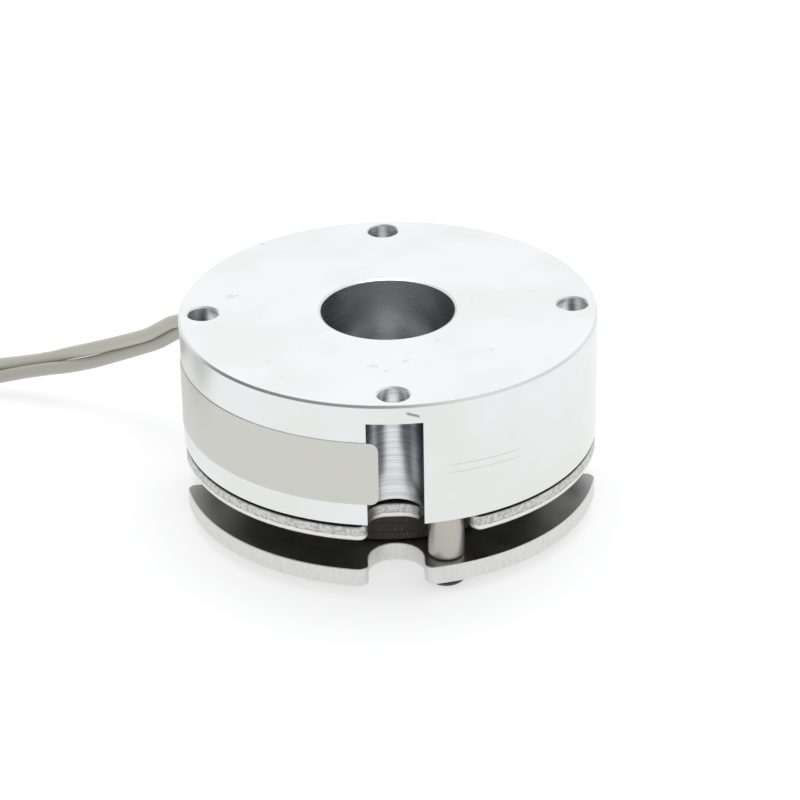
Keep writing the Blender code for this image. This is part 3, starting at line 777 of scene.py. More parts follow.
class Graph:
    """A node tree of a material or the world, built from expressions."""

    def __init__(self, tree: NodeTree, shader: Node) -> None:
        """Takes over a tree and the shader that it ends in."""
        self.tree = tree
        self.shader = shader

    def node(self, kind: str, settings: dict | None = None,
             inputs: dict | None = None) -> Node:
        """Adds a node.

        Args:
            kind: its type.
            settings: its own settings, which are set first.
            inputs: a value, a socket or a Signal for each input, by its name or number.

        Returns:
            The new node.
        """
        made = self.tree.nodes.new(kind)
        for name, value in (settings or {}).items():
            setattr(made, name, value)
        for name, value in (inputs or {}).items():
            self.set(made.inputs[name], value)
        return made

    def set(self, socket: NodeSocket, value: object) -> None:
        """Gives a socket a number, a colour, another socket's output or a Signal.

        Args:
            socket: the input.
            value: what it takes.
        """
        if isinstance(value, Signal):
            value = value.socket
        if isinstance(value, NodeSocket):
            self.tree.links.new(value, socket)
        elif isinstance(value, tuple):
            socket.default_value = (*value, 1.0)
        else:
            socket.default_value = value

    def shade(self, **values: object) -> None:
        """Sets the shader's own sockets, Base_Color for Base Color and so on."""
        for name, value in values.items():
            self.set(self.shader.inputs[name.replace("_", " ")], value)

    def split(self, vector: NodeSocket) -> list[Signal]:
        """The three numbers of a vector."""
        parts = self.node("ShaderNodeSeparateXYZ", inputs={0: vector}).outputs
        return [Signal(self, part) for part in parts]

    def place(self) -> list[Signal]:
        """Where a point of the object is: x, y and z."""
        return self.split(self.node("ShaderNodeTexCoord").outputs["Object"])

    def noise(self, x: Signal | float, y: Signal | float = 0.0, z: Signal | float = 0.0,
              detail: float = 2.0) -> Signal:
        """Soft random values round 0.5.

        Args:
            x: the first coordinate, one feature for each unit.
            y: the second.
            z: the third.
            detail: how many finer layers it has.

        Returns:
            The values.
        """
        vector = self.node("ShaderNodeCombineXYZ", inputs={0: x, 1: y, 2: z}).outputs[0]
        made = self.node("ShaderNodeTexNoise",
                         inputs={"Vector": vector, "Scale": 1.0, "Detail": detail})
        return Signal(self, made.outputs[0])

    def grain(self, across: float, up: float | None = None, detail: float = NOISE_DETAIL) -> Signal:
        """Noise over a point's place: features in each metre across, and up if that differs."""
        x, y, z = self.place()
        return self.noise(x * across, y * across, z * (up or across), detail)

    def mix(self, share: Signal, first: object, second: object) -> NodeSocket:
        """A colour that goes from first to second as share goes from 0 to 1."""
        # A Mix node's sockets for colours have no names of their own, so they go by their numbers
        made = self.node("ShaderNodeMix", {"data_type": "RGBA"}, {0: share, 6: first, 7: second})
        return made.outputs[2]

    def relief(self, height: Signal, depth: float) -> None:
        """Bumps the surface by a height of 0 to 1 that stands for depth in metres."""
        made = self.node("ShaderNodeBump",
                         inputs={"Height": height, "Distance": depth, "Strength": 1.0})
        self.shade(Normal=made.outputs[0])


@dataclass(frozen=True)
class Finish:
    """A plain finish, which the others refine.

    In them a number of features is for each metre, or each radian round the axis, and an edge is
    the pair of noise values between which a pattern comes in.
    """

    name: str
    slot: str
    colour: Colour
    roughness: float
    metallic: float = 0.0

    def material(self) -> Material:
        """Makes the finish's material the first time, and finds it after that.

        Returns:
            The material.
        """
        title = f"{self.name}_finish"
        known = bpy.data.materials.get(title)
        if known:
            return known
        made = bpy.data.materials.new(title)
        made.use_nodes = True
        graph = Graph(made.node_tree, made.node_tree.nodes["Principled BSDF"])
        graph.shade(Base_Color=self.colour, Roughness=self.roughness, Metallic=self.metallic)
        self.paint(graph)
        return made

    def dulled(self, share: float) -> Colour:
        """The finish's colour times a share."""
        return tuple(part * share for part in self.colour)

    def paint(self, graph: Graph) -> None:
        """Adds what changes over the surface."""


@dataclass(frozen=True)
class Scratch:
    """A worn line on a round wall between two places, each a turn in degrees and a height."""

    start: Pair
    end: Pair
    half_width: float
    strength: float

    def share(self, turn: Signal, height: Signal) -> Signal:
        """How worn a place is: full on the line, and 0 from half_width off it or past its ends.

        Args:
            turn: the place's turn in radians.
            height: its height.

        Returns:
            The wear, up to the strength.
        """
        first, last = (math.radians(place[0]) for place in (self.start, self.end))
        along = (turn - first) / (last - first)
        off = abs(height - (self.start[1] + along * (self.end[1] - self.start[1])))
        # 1 between the ends, and 0 from a tenth of the line's length past them
        inside = along.near(0.5, 0.6).rise(0.0, 0.5)
        return self.strength * off.rise(self.half_width, 0.0) * inside


@dataclass(frozen=True)
class TurnedZinc(Finish):
    """Bright zinc over fine turning, faintly cloudy, with specks and scratches."""

    groove: float = 4200.0
    groove_depth: float = 0.0000006
    cloud: float = 90.0
    cloud_edge: Pair = (0.38, 0.66)
    cloud_tint: Colour = (0.955, 0.95, 0.925)
    speck: float = 330.0
    speck_edge: Pair = (0.70, 0.76)
    speck_strength: float = 0.0
    unevenness: float = 0.08
    worn: Colour = (0.12, 0.12, 0.13)
    scratches: tuple[Scratch, ...] = ()

    def paint(self, graph: Graph) -> None:
        """Grooves run round the axis: noise over the radius and the height.

        Args:
            graph: the material's nodes.
        """
        x, y, z = graph.place()
        radius = (x * x + y * y) ** 0.5
        grooves = graph.noise(radius * self.groove, z * self.groove, 0.0, NOISE_DETAIL)
        clouds = graph.grain(self.cloud)
        tinted = tuple(part * share for part, share in zip(self.colour, self.cloud_tint))
        colour = graph.mix(clouds.rise(*self.cloud_edge), self.colour, tinted)
        if self.speck_strength:
            specks = self.speck_strength * graph.grain(self.speck).rise(*self.speck_edge)
            colour = graph.mix(specks, colour, self.worn)
        turn = x.angle_from(-1.0 * y)
        for scratch in self.scratches:
            colour = graph.mix(scratch.share(turn, z), colour, self.worn)
        roughness = self.roughness + self.unevenness * grooves + self.unevenness * clouds
        graph.shade(Base_Color=colour, Roughness=roughness)
        graph.relief(grooves, self.groove_depth)


@dataclass(frozen=True)
class MilledZinc(Finish):
    """Zinc over milled walls: level chatter lines, and painted shade on the notch side walls."""

    line: float = 5200.0
    line_break: float = 60.0
    line_edge: Pair = (0.3, 0.65)
    line_depth: float = 0.000004
    dulling: float = 0.72
    unevenness: float = 0.12
    # In this finish the cloud noise only makes the painted shade's edge waver
    cloud: float = 500.0
    cloud_height: float = 160.0
    # Painted shade: a near-black colour mixed over the notches' side walls in place of their shade,
    # with its edge, waver and strength
    painted_shade: Colour = (0.035, 0.04, 0.06)
    painted_shade_edge: Pair = (0.0024, 0.0037)
    painted_shade_waver: float = 0.0012
    painted_shade_strength: float = 0.9

    def paint(self, graph: Graph) -> None:
        """Lines run level: noise over the height, a little broken along the wall.

        Shade is painted dark on the notches' side walls, where the smaller of |x| and |y| is large.

        Args:
            graph: the material's nodes.
        """
        x, y, _ = graph.place()
        lines = graph.grain(self.line_break, self.line)
        waver = self.painted_shade_waver * (graph.grain(self.cloud, self.cloud_height) - 0.5)
        # side is the painted shade's mask, which is 1 on the notches' side walls
        side = (abs(x).at_most(abs(y)) + waver).rise(*self.painted_shade_edge)
        lit = graph.mix(lines.rise(*self.line_edge), self.dulled(self.dulling), self.colour)
        colour = graph.mix(self.painted_shade_strength * side, lit, self.painted_shade)
        graph.shade(Base_Color=colour, Roughness=self.roughness + self.unevenness * lines)
        graph.relief(lines, self.line_depth)


@dataclass(frozen=True)
class StampedSteel(Finish):
    """Stamped steel: mottled, with upright shear marks along its edges."""

    mottle: float = 1500.0
    mottle_detail: float = 4.0
    mottle_edge: Pair = (0.36, 0.6)
    mottle_share: float = 0.6
    shear: float = 0.0
    shear_height: float = 150.0
    shear_share: float = 0.4
    shear_depth: float = 0.000008
    dulling: float = 0.72
    unevenness: float = 0.2
    lip_top: float = 0.0
    lip_wave: float = 25.0
    lip_rise: float = 0.0004
    lip_blur: float = 0.00006
    lip: Colour = (0.77, 0.77, 0.75)
    lip_line: Colour = (0.16, 0.16, 0.155)
    lip_line_place: Pair = (0.00008, 0.00009)
    lip_line_strength: float = 0.6

    def paint(self, graph: Graph) -> None:
        """Mottling is noise over the place, and shear marks are noise over the turn.

        Below lip_top the punch has left a bright lip, and a dull line along its wavy top.

        Args:
            graph: the material's nodes.
        """
        x, y, z = graph.place()
        turn = x.angle_from(-1.0 * y)
        mottle = marks = graph.grain(self.mottle, detail=self.mottle_detail)
        if self.shear:
            marks = graph.noise(turn * self.shear, z * self.shear_height, 0.0, NOISE_DETAIL)
        bright = (mottle * self.mottle_share + marks * self.shear_share).rise(*self.mottle_edge)
        colour = graph.mix(bright, self.dulled(self.dulling), self.colour)
        if self.lip_top:
            above = z - self.lip_top + self.lip_rise * (graph.noise(turn * self.lip_wave) - 0.5)
            colour = graph.mix(above.rise(self.lip_blur, -self.lip_blur), colour, self.lip)
            line = self.lip_line_strength * above.near(*self.lip_line_place)
            colour = graph.mix(line, colour, self.lip_line)
        graph.shade(Base_Color=colour, Roughness=self.roughness + self.unevenness * marks)
        graph.relief(marks, self.shear_depth)


@dataclass(frozen=True)
class MouldedLining(Finish):
    """Dark moulded friction lining with pale specks."""

    speck: float = 3300.0
    speck_edge: Pair = (0.66, 0.74)
    speck_detail: float = 2.0
    speck_depth: float = 0.00004
    pale: Colour = (0.30, 0.29, 0.24)

    def paint(self, graph: Graph) -> None:
        """Specks are the peaks of fine noise.

        Args:
            graph: the material's nodes.
        """
        specks = graph.grain(self.speck, detail=self.speck_detail)
        graph.shade(Base_Color=graph.mix(specks.rise(*self.speck_edge), self.colour, self.pale))
        graph.relief(specks, self.speck_depth)


@dataclass(frozen=True)
class LitFloor(Finish):
    """A pale table that is lit a little from below."""

    glow: float = 0.62

    def paint(self, graph: Graph) -> None:
        """Its own light is added to what it scatters."""
        graph.shade(Emission_Color=(1.0, 1.0, 1.0), Emission_Strength=self.glow)


TURNED_ZINC = TurnedZinc("turned_zinc", "plated_steel", (0.845, 0.85, 0.865), 0.26, 1.0,
                         speck_strength=0.17)
WALL_ZINC = TurnedZinc("wall_zinc", "plated_steel", (0.79, 0.805, 0.805), 0.22, 1.0,
                       cloud=55.0, scratches=(
                           Scratch((2.8, 0.0276), (6.9, 0.0269), 0.00035, 0.8),
                           Scratch((12.6, 0.01929), (37.9, 0.01898), 0.00012, 0.3),
                           Scratch((11.8, 0.01816), (37.9, 0.01791), 0.00012, 0.25)))
BORED_ZINC = TurnedZinc("bored_zinc", "plated_steel", (0.74, 0.745, 0.76), 0.2, 1.0,
                        groove=6500.0, groove_depth=0.0000015)
DRILLED_ZINC = MilledZinc("drilled_zinc", "plated_steel", (0.90, 0.91, 0.93), 0.3, 1.0,
                          line=7000.0, line_depth=0.000003, painted_shade_strength=0.0)
MILLED_ZINC = MilledZinc("milled_zinc", "plated_steel", (0.80, 0.81, 0.83), 0.24, 1.0)
ARMATURE_STEEL = StampedSteel("armature_steel", "stamped_steel", (0.63, 0.625, 0.61), 0.28, 1.0,
                              mottle=2000.0, dulling=0.66, lip_top=0.0092)
PLATE_STEEL = StampedSteel("plate_steel", "stamped_steel", (0.74, 0.74, 0.725), 0.30, 1.0,
                           mottle=2600.0, shear=210.0, dulling=0.9)
ROLLED_STEEL = StampedSteel("rolled_steel", "stamped_steel", (0.81, 0.81, 0.79), 0.22, 1.0,
                            mottle=2200.0, shear_depth=0.000003, dulling=0.93)
# The plates' faces take a darker copy of the stamped steel, painted shade for the dark gap between
# the plates
SHADED_FACE_STEEL = StampedSteel("shaded_face_steel", "stamped_steel", (0.44, 0.44, 0.43), 0.24, 1.0,
                          mottle=350.0, shear_depth=0.0000005, dulling=0.93)
CARRIER_STEEL = MouldedLining("carrier_steel", "carrier_steel", (0.029, 0.027, 0.024), 0.8)
SPACER_STEEL = TurnedZinc("spacer_steel", "spacer_steel", (0.50, 0.485, 0.445), 0.22, 1.0,
                          groove=9000.0, groove_depth=0.000002)
SPRING_STEEL = Finish("spring_steel", "spring_steel", (0.55, 0.54, 0.52), 0.32, 1.0)
BLACK_OXIDE = Finish("black_oxide", "black_oxide", (0.03, 0.03, 0.034), 0.4, 0.6)
LINING = MouldedLining("friction_lining", "friction_lining", (0.033, 0.031, 0.027), 0.85)
HUB_ALUMINIUM = TurnedZinc("hub_aluminium", "hub_aluminium", (0.76, 0.76, 0.77), 0.28, 1.0,
                           groove=7000.0, groove_depth=0.000002)
NYLON = Finish("bobbin_nylon", "bobbin_nylon", (0.7, 0.66, 0.55), 0.5)
COPPER = Finish("copper_wire", "copper_wire", (0.72, 0.36, 0.18), 0.3, 1.0)
RESIN = Finish("potting_resin", "potting_resin", (0.05, 0.042, 0.042), 0.3)
FOIL = Finish("label_foil", "label_foil", (0.60, 0.595, 0.56), 0.36, 0.85)
RUBBER = Finish("bushing_rubber", "bushing_rubber", (0.03, 0.03, 0.03), 0.65)
UPPER_VINYL = Finish("lead_vinyl_upper", "lead_insulation", (0.50, 0.495, 0.42), 0.32)
LOWER_VINYL = Finish("lead_vinyl_lower", "lead_insulation", (0.43, 0.42, 0.38), 0.32)
TINNED = Finish("tinned_strands", "tinned_wire", (0.75, 0.75, 0.74), 0.3, 1.0)
TIE_NYLON = Finish("tie_nylon", "tie_nylon", (0.8, 0.79, 0.74), 0.45)
PALE_FLOOR = LitFloor("pale_floor", "", (0.42, 0.42, 0.42), 0.9)


def settle(made: Object, finish: Finish, body: Body, *nodes: str) -> Object:
    """Puts a piece on its body in place of the nodes that it stands for, and reports it.

    Args:
        made: the piece.
        finish: the piece's finish; not used.
        body: the body that it rides on.
        nodes: the nodes that it stands for.

    Returns:
        The piece.
    """
    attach(made, body.value)
    if nodes:
        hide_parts(*nodes)
    log.info("%s: %d faces on %s", made.name, len(made.data.polygons), body.value)
    return made


def span(node: str) -> Pair:
    """The heights of a node's lowest and highest points."""
    low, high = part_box(node)
    return low[2], high[2]


def round_box(node: str) -> tuple[float, float, float]:
    """The radius of a round node about the axis, and its lowest and highest heights."""
    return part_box(node)[1][0], *span(node)


def lathed(name: str, profile: Profile, count: int, finish: Finish,
           centre: Sequence[float] = AXIS) -> Object:
    """Makes a piece by turning a closed profile round an upright axis.

    Args:
        name: the piece's name.
        profile: its (r, z) corners, the first not repeated.
        count: how many steps go round.
        finish: its finish.
        centre: the axis in plan.

    Returns:
        The piece.
    """
    return Skin().net(turned([*profile, profile[0]], count, centre)).piece(name, [finish])


@dataclass
class MagnetHousing:
    """The turned housing: bore, coil cavity, spring pockets, screw notches and holes."""

    bore: float = 0.0092
    inner_pole: float = 0.0132
    outer_pole: float = 0.0198
    coil_depth: float = 0.0125
    rim_chamfer: float = 0.0003
    bore_chamfer: float = 0.0003
    bore_chamfer_rise: float = 0.00017
    lower_edge: float = 0.00012
    flange: float = 0.0026
    notch_floor: float = 0.02145
    mount_circle: float = 0.0252
    mount_hole: float = 0.0021
    mount_chamfer: float = 0.0002
    pocket: float = 0.00145
    pocket_depth: float = 0.006
    thread: float = 0.0016
    thread_depth: float = 0.007
    lead_turn: float = math.radians(-126)
    lead_height: float = 0.0176
    lead_passage: float = 0.0024
    past_rim: float = 1.1
    bore_count: int = 180
    pole_count: int = 240
    hole_count: int = 48

    def blind_holes(self, skin: Skin, centres: Sequence[Points], radius: float, bottom: float,
                    depth: float) -> list[Points]:
        """Adds round holes with flat ends, open at the bottom.

        Args:
            skin: the surface to add them to.
            centres: their centres in plan.
            radius: their radius.
            bottom: the height of their mouths.
            depth: how far up they go.

        Returns:
            Their mouths' outlines.
        """
        mouths = [ring(radius, self.hole_count, centre) for centre in centres]
        for centre, mouth in zip(centres, mouths):
            wall = turned([(radius, bottom), (radius, bottom + depth)], self.hole_count, centre)
            skin.net(wall, HousingLook.BORED).flat(bottom + depth, mouth, look=HousingLook.BORED)
        return mouths

    def add_flange(self, skin: Skin, notches: NotchedRim, ceiling: float, top: float) -> Points:
        """Adds the round flange over the notches, with its mounting holes and its upper face.

        Args:
            skin: the surface to add it to.
            notches: the outline below it.
            ceiling: the height of its lower face.
            top: the height of its upper face.

        Returns:
            The bore's mouth in plan.
        """
        round_rim, hole_mouths = [], []
        wide = self.mount_hole + self.mount_chamfer
        for path, land in notches.stretches():
            mouth = notches.rim_between(path[0], path[-1])
            round_rim += [path[:1], mouth, path[-1:], land]
            middle = path.mean(axis=0)
            centre = middle / np.hypot(*middle) * self.mount_circle
            hole = ring(self.mount_hole, self.hole_count, centre)
            skin.flat(ceiling, np.concatenate([path, mouth[::-1]]), [hole], HousingLook.MILLED)
            wall = [(self.mount_hole, ceiling), (self.mount_hole, top - self.mount_chamfer),
                    (wide, top)]
            skin.net(turned(wall, self.hole_count, centre), HousingLook.DRILLED)
            hole_mouths.append(ring(wide, self.hole_count, centre))
        edge = [(0, ceiling), (0, top - self.rim_chamfer), (self.rim_chamfer, top)]
        flange = carried(np.concatenate(round_rim), edge)
        bore_mouth = ring(self.bore + self.bore_chamfer, self.bore_count)
        skin.net(flange, HousingLook.WALL)
        skin.flat(top, flange[:-1, -1, :2], [bore_mouth, *hole_mouths])
        return bore_mouth

    def build(self) -> None:
        """Makes the housing."""
        bottom, top = span("magnet_body")
        notches = NotchedRim(RIM, tuple(
            Bite(turn, NOTCH_HALF_WIDTH, self.notch_floor, NOTCH_HALF_WIDTH)
            for turn in MOUNT_TURNS))
        outline, cut = notches.outline()
        wall = carried(outline, [(self.lower_edge, bottom), (0, bottom + self.lower_edge),
                                 (0, top - self.flange)])
        skin = Skin().net(wall, np.where(cut, HousingLook.MILLED, HousingLook.WALL))
        bore_mouth = self.add_flange(skin, notches, top - self.flange, top)
        wide = self.bore + self.bore_chamfer
        bore = [(wide, bottom), (self.bore, bottom + self.bore_chamfer),
                (self.bore, top - self.bore_chamfer_rise), (wide, top)]
        skin.net(turned(bore, self.bore_count), HousingLook.BORED)
        ceiling = bottom + self.coil_depth
        cavity = [(self.inner_pole, bottom), (self.inner_pole, ceiling),
                  (self.outer_pole, ceiling), (self.outer_pole, bottom)]
        skin.net(turned(cavity, self.pole_count), HousingLook.BORED)
        springs = rotated(ring(SPRING_CIRCLE, SPRING_COUNT), math.pi / SPRING_COUNT)
        pockets = self.blind_holes(skin, springs, self.pocket, bottom, self.pocket_depth)
        screws = [at_turn(turn, SCREW_CIRCLE) for turn in SCREW_TURNS]
        threads = self.blind_holes(skin, screws, self.thread, bottom, self.thread_depth)
        skin.flat(bottom, wall[:-1, 0, :2], [ring(self.outer_pole, self.pole_count), *threads])
        skin.flat(bottom, ring(self.inner_pole, self.pole_count), [bore_mouth, *pockets])
        made = skin.piece("magnet_housing",
                          [TURNED_ZINC, MILLED_ZINC, BORED_ZINC, WALL_ZINC, DRILLED_ZINC])
        way = turned([(self.lead_passage, (self.inner_pole + self.outer_pole) / 2),
                      (self.lead_passage, RIM * self.past_rim)], self.hole_count)
        made = bored(made, [Skin().drum(lying_out(way, self.lead_turn, self.lead_height))])
        settle(even_normals(made), TURNED_ZINC, Body.STATOR, "magnet_body")


@dataclass
class Coil:
    """The winding on its bobbin, sealed into the housing by a ring of potting."""

    inner: float = 0.0135
    winding_inner: float = 0.0145
    flange: float = 0.0007
    fillet: float = 0.0002
    wire: float = 0.0005
    wire_steps: int = 6
    count: int = 200

    def build(self) -> None:
        """Makes the three rings.

        With w the wire's width, the winding's radius falls by w / 2 (1 - |sin(pi z / w)|) between
        the wires.
        """
        outer, low, high = round_box("coil_bobbin")
        core = self.inner + self.flange
        bobbin = lathed("bobbin", [
            (self.inner, low), (outer - self.fillet, low), (outer, low + self.fillet),
            (outer, low + self.flange), (core, low + self.flange), (core, high - self.flange),
            (outer, high - self.flange), (outer, high - self.fillet), (outer - self.fillet, high),
            (self.inner, high)], self.count, NYLON)
        settle(bobbin, NYLON, Body.STATOR, "coil_bobbin")

        outer, low, high = round_box("coil_winding")
        wires = round((high - low) / self.wire)
        share = np.linspace(0, 1, wires * self.wire_steps + 1)
        radius = outer - self.wire / 2 * (1 - np.abs(np.sin(share * wires * math.pi)))
        winding = lathed("winding", [
            (self.winding_inner, low), *zip(radius, low + share * (high - low)),
            (self.winding_inner, high)], self.count, COPPER)
        settle(winding, COPPER, Body.STATOR, "coil_winding")

        outer, low, high = round_box("coil_potting")
        potting = lathed("potting", [(self.inner, low), (outer, low), (outer, high),
                                     (self.inner, high)], self.count, RESIN)
        settle(potting, RESIN, Body.STATOR, "coil_potting")


@dataclass
class SpringSet:
    """Six wire springs with closed ends, each at its node's length; in the brake they shorten as
    the armature is pulled up.
    """

    coil: float = 0.00095
    wire: float = 0.0004
    turns: float = 6.0
    fixed_end: float = 0.01675
    pull: float = 0.00025
    steps: int = 24
    sides: int = 10

    def build(self) -> None:
        """Makes the springs: each is a helix whose first and last turns lie close."""
        for number in range(1, SPRING_COUNT + 1):
            low, high = span(f"spring_{number}")
            x, y = at_turn(math.radians(360 / SPRING_COUNT * (number - 0.5)), SPRING_CIRCLE)
            turn = np.linspace(0, self.turns, round(self.turns * self.steps) + 1)
            rise = np.interp(turn, [0, 1, self.turns - 1, self.turns],
                             [0, self.wire, high - low - 2 * self.wire, high - low - self.wire])
            angle = turn * math.tau
            path = np.stack([x + self.coil * np.cos(angle), y + self.coil * np.sin(angle),
                             low + self.wire / 2 + rise], axis=1)
            skin = Skin().rod(tube(path, self.wire / 2, self.sides))
            made = skin.piece(f"pull_spring_{number}", [SPRING_STEEL])
            settle(made, SPRING_STEEL, Body.STATOR, f"spring_{number}")
            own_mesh(made)


@dataclass
class Plates:
    """The two stamped plates: the armature under the housing and the end plate at the bottom."""

    bore: float = 0.0096
    armature_floor: float = 0.0221
    armature_corner: float = 0.0028
    armature_mouth: float = 0.0013
    slot: float = 0.0033
    slot_turn: float = math.radians(-1.1)
    end_floor: float = 0.02145
    end_mouth: float = 0.0012
    screw_hole: float = 0.0017
    rolled_edge: float = 0.0006
    crisp_edge: float = 0.0001
    head_seat: float = 0.00027
    bore_count: int = 180
    hole_count: int = 40

    def plate(self, name: str, node: str, notches: NotchedRim, holes: Sequence[Points], roll: float,
              seat: float, finish: Finish, body: Body) -> Object:
        """Makes one plate.

        Args:
            name: the piece's name.
            node: the node that it stands for.
            notches: its outline.
            holes: the outlines of its round holes, apart from the bore.
            roll: the radius of its lower edge.
            seat: how far its lower face goes down on to what it rests on.
            finish: its finish.
            body: the body that it rides on.

        Returns:
            The piece.
        """
        bottom, top = span(node)
        bottom -= seat
        outline, _ = notches.outline()
        lower = carried(outline, rounded_edge(0, roll, bottom, 1))
        upper = carried(outline, [(0, bottom + roll), (0, top - self.crisp_edge),
                                  (self.crisp_edge, top)])
        loops = [ring(self.bore, self.bore_count), *holes]
        skin = Skin().net(lower, PlateLook.ROLLED).net(upper, PlateLook.EDGE)
        for height, edge in ((bottom, lower[:-1, 0, :2]), (top, upper[:-1, -1, :2])):
            skin.flat(height, edge, loops, PlateLook.FACE)
        for loop in loops:
            skin.net(upright(loop, bottom, top), PlateLook.EDGE)
        made = even_normals(skin.piece(name, [finish, SHADED_FACE_STEEL, ROLLED_STEEL]))
        return settle(made, finish, body, node)

    def build(self) -> None:
        """Makes both plates."""
        bites = [Bite(turn, NOTCH_HALF_WIDTH, self.armature_floor, self.armature_corner,
                      self.armature_mouth) for turn in MOUNT_TURNS]
        bites += [Bite(turn + self.slot_turn, self.slot, SCREW_CIRCLE - self.slot, self.slot,
                       self.armature_mouth) for turn in SCREW_TURNS]
        self.plate("pulled_plate", "armature_plate", NotchedRim(RIM, tuple(bites)), [],
                   self.rolled_edge, 0.0, ARMATURE_STEEL, Body.ARMATURE)
        bites = [Bite(turn, NOTCH_HALF_WIDTH, self.end_floor, NOTCH_HALF_WIDTH, self.end_mouth)
                 for turn in MOUNT_TURNS]
        holes = [ring(self.screw_hole, self.hole_count, at_turn(turn, SCREW_CIRCLE))
                 for turn in SCREW_TURNS]
        self.plate("stop_plate", "end_plate", NotchedRim(RIM, tuple(bites)), holes,
                   self.rolled_edge / 2, self.head_seat, PLATE_STEEL, Body.STATOR)


@dataclass
class FrictionDisc:
    """The carrier with its hexagon window, and a friction ring on each face."""

    ring_inner: float = 0.0105
    ring_edge: float = 0.00015
    ring_seat: float = 0.0001
    rim_coat: float = 0.0005
    window: float = 0.0142
    count: int = 240

    def build(self) -> None:
        """Makes the carrier, its rim coated with lining dust, and the rings, which touch it."""
        outer, low, high = round_box("disc_carrier")
        rim, window = ring(outer + self.rim_coat, self.count), hexagon(self.window)
        skin = Skin().net(upright(rim, low, high)).net(upright(window, low, high))
        skin.flat(low, rim, [window]).flat(high, rim, [window])
        made = even_normals(skin.piece("carrier", [CARRIER_STEEL]))
        settle(made, CARRIER_STEEL, Body.DISC, "disc_carrier")

        for name, down, up in (("upper", self.ring_seat, 0.0), ("lower", 0.0, self.ring_seat)):
            node = f"friction_ring_{name}"
            outer, low, high = round_box(node)
            low, high, edge = low - down, high + up, self.ring_edge
            made = lathed(f"lining_{name}", [
                (self.ring_inner, low), (outer - edge, low), (outer, low + edge),
                (outer, high - edge), (outer - edge, high), (self.ring_inner, high)],
                self.count, LINING)
            settle(even_normals(made), LINING, Body.DISC, node)


def add_socket(skin: Skin, radius: float, flats: float, mouth: float, floor: float,
               place: Pair | None = None, centre: Sequence[float] = AXIS) -> None:
    """Adds the end face of a screw with its hexagon socket.

    Args:
        skin: the surface to add it to.
        radius: the end face's radius.
        flats: the distance between the socket's flats.
        mouth: the height of the end face.
        floor: the height of the socket's floor.
        place: the turn and height of the screw's axis, if it lies.
        centre: the screw's axis in plan, if it stands.
    """
    loop = hexagon(flats, centre)
    wall = upright(loop, mouth, floor)
    skin.flat(mouth, ring(radius, THREAD_SIDES, centre), [loop], laid=place)
    skin.flat(floor, loop, laid=place)
    skin.net(lying_out(wall, *place) if place else wall)


@dataclass
class RotorHub:
    """The hub on the shaft, with a hexagon for the disc, a round neck and two set screws."""

    shaft: float = 0.0047625
    neck: float = 0.0068
    flats: float = 0.0140
    corner: float = 0.0079
    shoulder: float = 0.0098
    chamfer: float = 0.0003
    screw_turns: Pair = (math.radians(-45), math.radians(45))
    screw_height: float = 0.0128
    screw: float = 0.0015
    screw_hole: float = 0.0016
    screw_inner: float = 0.0050625
    screw_outer: float = 0.0065
    socket_flats: float = 0.0015
    socket_depth: float = 0.0009
    pitch: float = 0.0005
    groove: float = 0.00022
    count: int = 120

    def hexagon_outline(self) -> Points:
        """The hexagon, its corners cut to arcs of half angle 30 - acos(flat / corner) degrees."""
        half = math.pi / 6 - math.acos(self.flats / 2 / self.corner)
        return np.concatenate([arc((0, 0), self.corner, corner - half, corner + half)
                               for corner in np.arange(6) * math.pi / 3])

    def build(self) -> None:
        """Makes the hub and its set screws."""
        bottom, top = span("rotor_hub")
        cut = self.chamfer
        block = carried(self.hexagon_outline(),
                        [(cut, bottom), (0, bottom + cut), (0, self.shoulder)])
        skin = Skin().net(block)
        skin.flat(bottom, block[:-1, 0, :2], [ring(self.shaft + cut, self.count)])
        skin.flat(self.shoulder, block[:-1, -1, :2], [ring(self.neck, self.count)])
        neck = [(self.neck, self.shoulder), (self.neck, top - cut), (self.neck - cut, top),
                (self.shaft + cut, top), (self.shaft, top - cut), (self.shaft, bottom + cut),
                (self.shaft + cut, bottom)]
        skin.net(turned(neck, self.count))
        made = skin.piece("hub", [HUB_ALUMINIUM])
        hole = turned([(self.screw_hole, self.shaft / 2), (self.screw_hole, self.corner)],
                      THREAD_SIDES)
        tools = [Skin().drum(lying_out(hole, turn, self.screw_height)) for turn in self.screw_turns]
        settle(even_normals(bored(made, tools)), HUB_ALUMINIUM, Body.ROTOR, "rotor_hub")

        thread = threaded(self.screw, self.pitch, self.groove, self.screw_inner, self.screw_outer)
        for number, turn in enumerate(self.screw_turns, 1):
            place = (turn, self.screw_height)
            net = lying_out(thread, *place)
            skin = Skin().net(net).cap(net[:, 0])
            add_socket(skin, self.screw, self.socket_flats, self.screw_outer,
                       self.screw_outer - self.socket_depth, place)
            made = skin.piece(f"hub_screw_{number}", [BLACK_OXIDE])
            settle(made, BLACK_OXIDE, Body.ROTOR, f"set_screw_{number}")


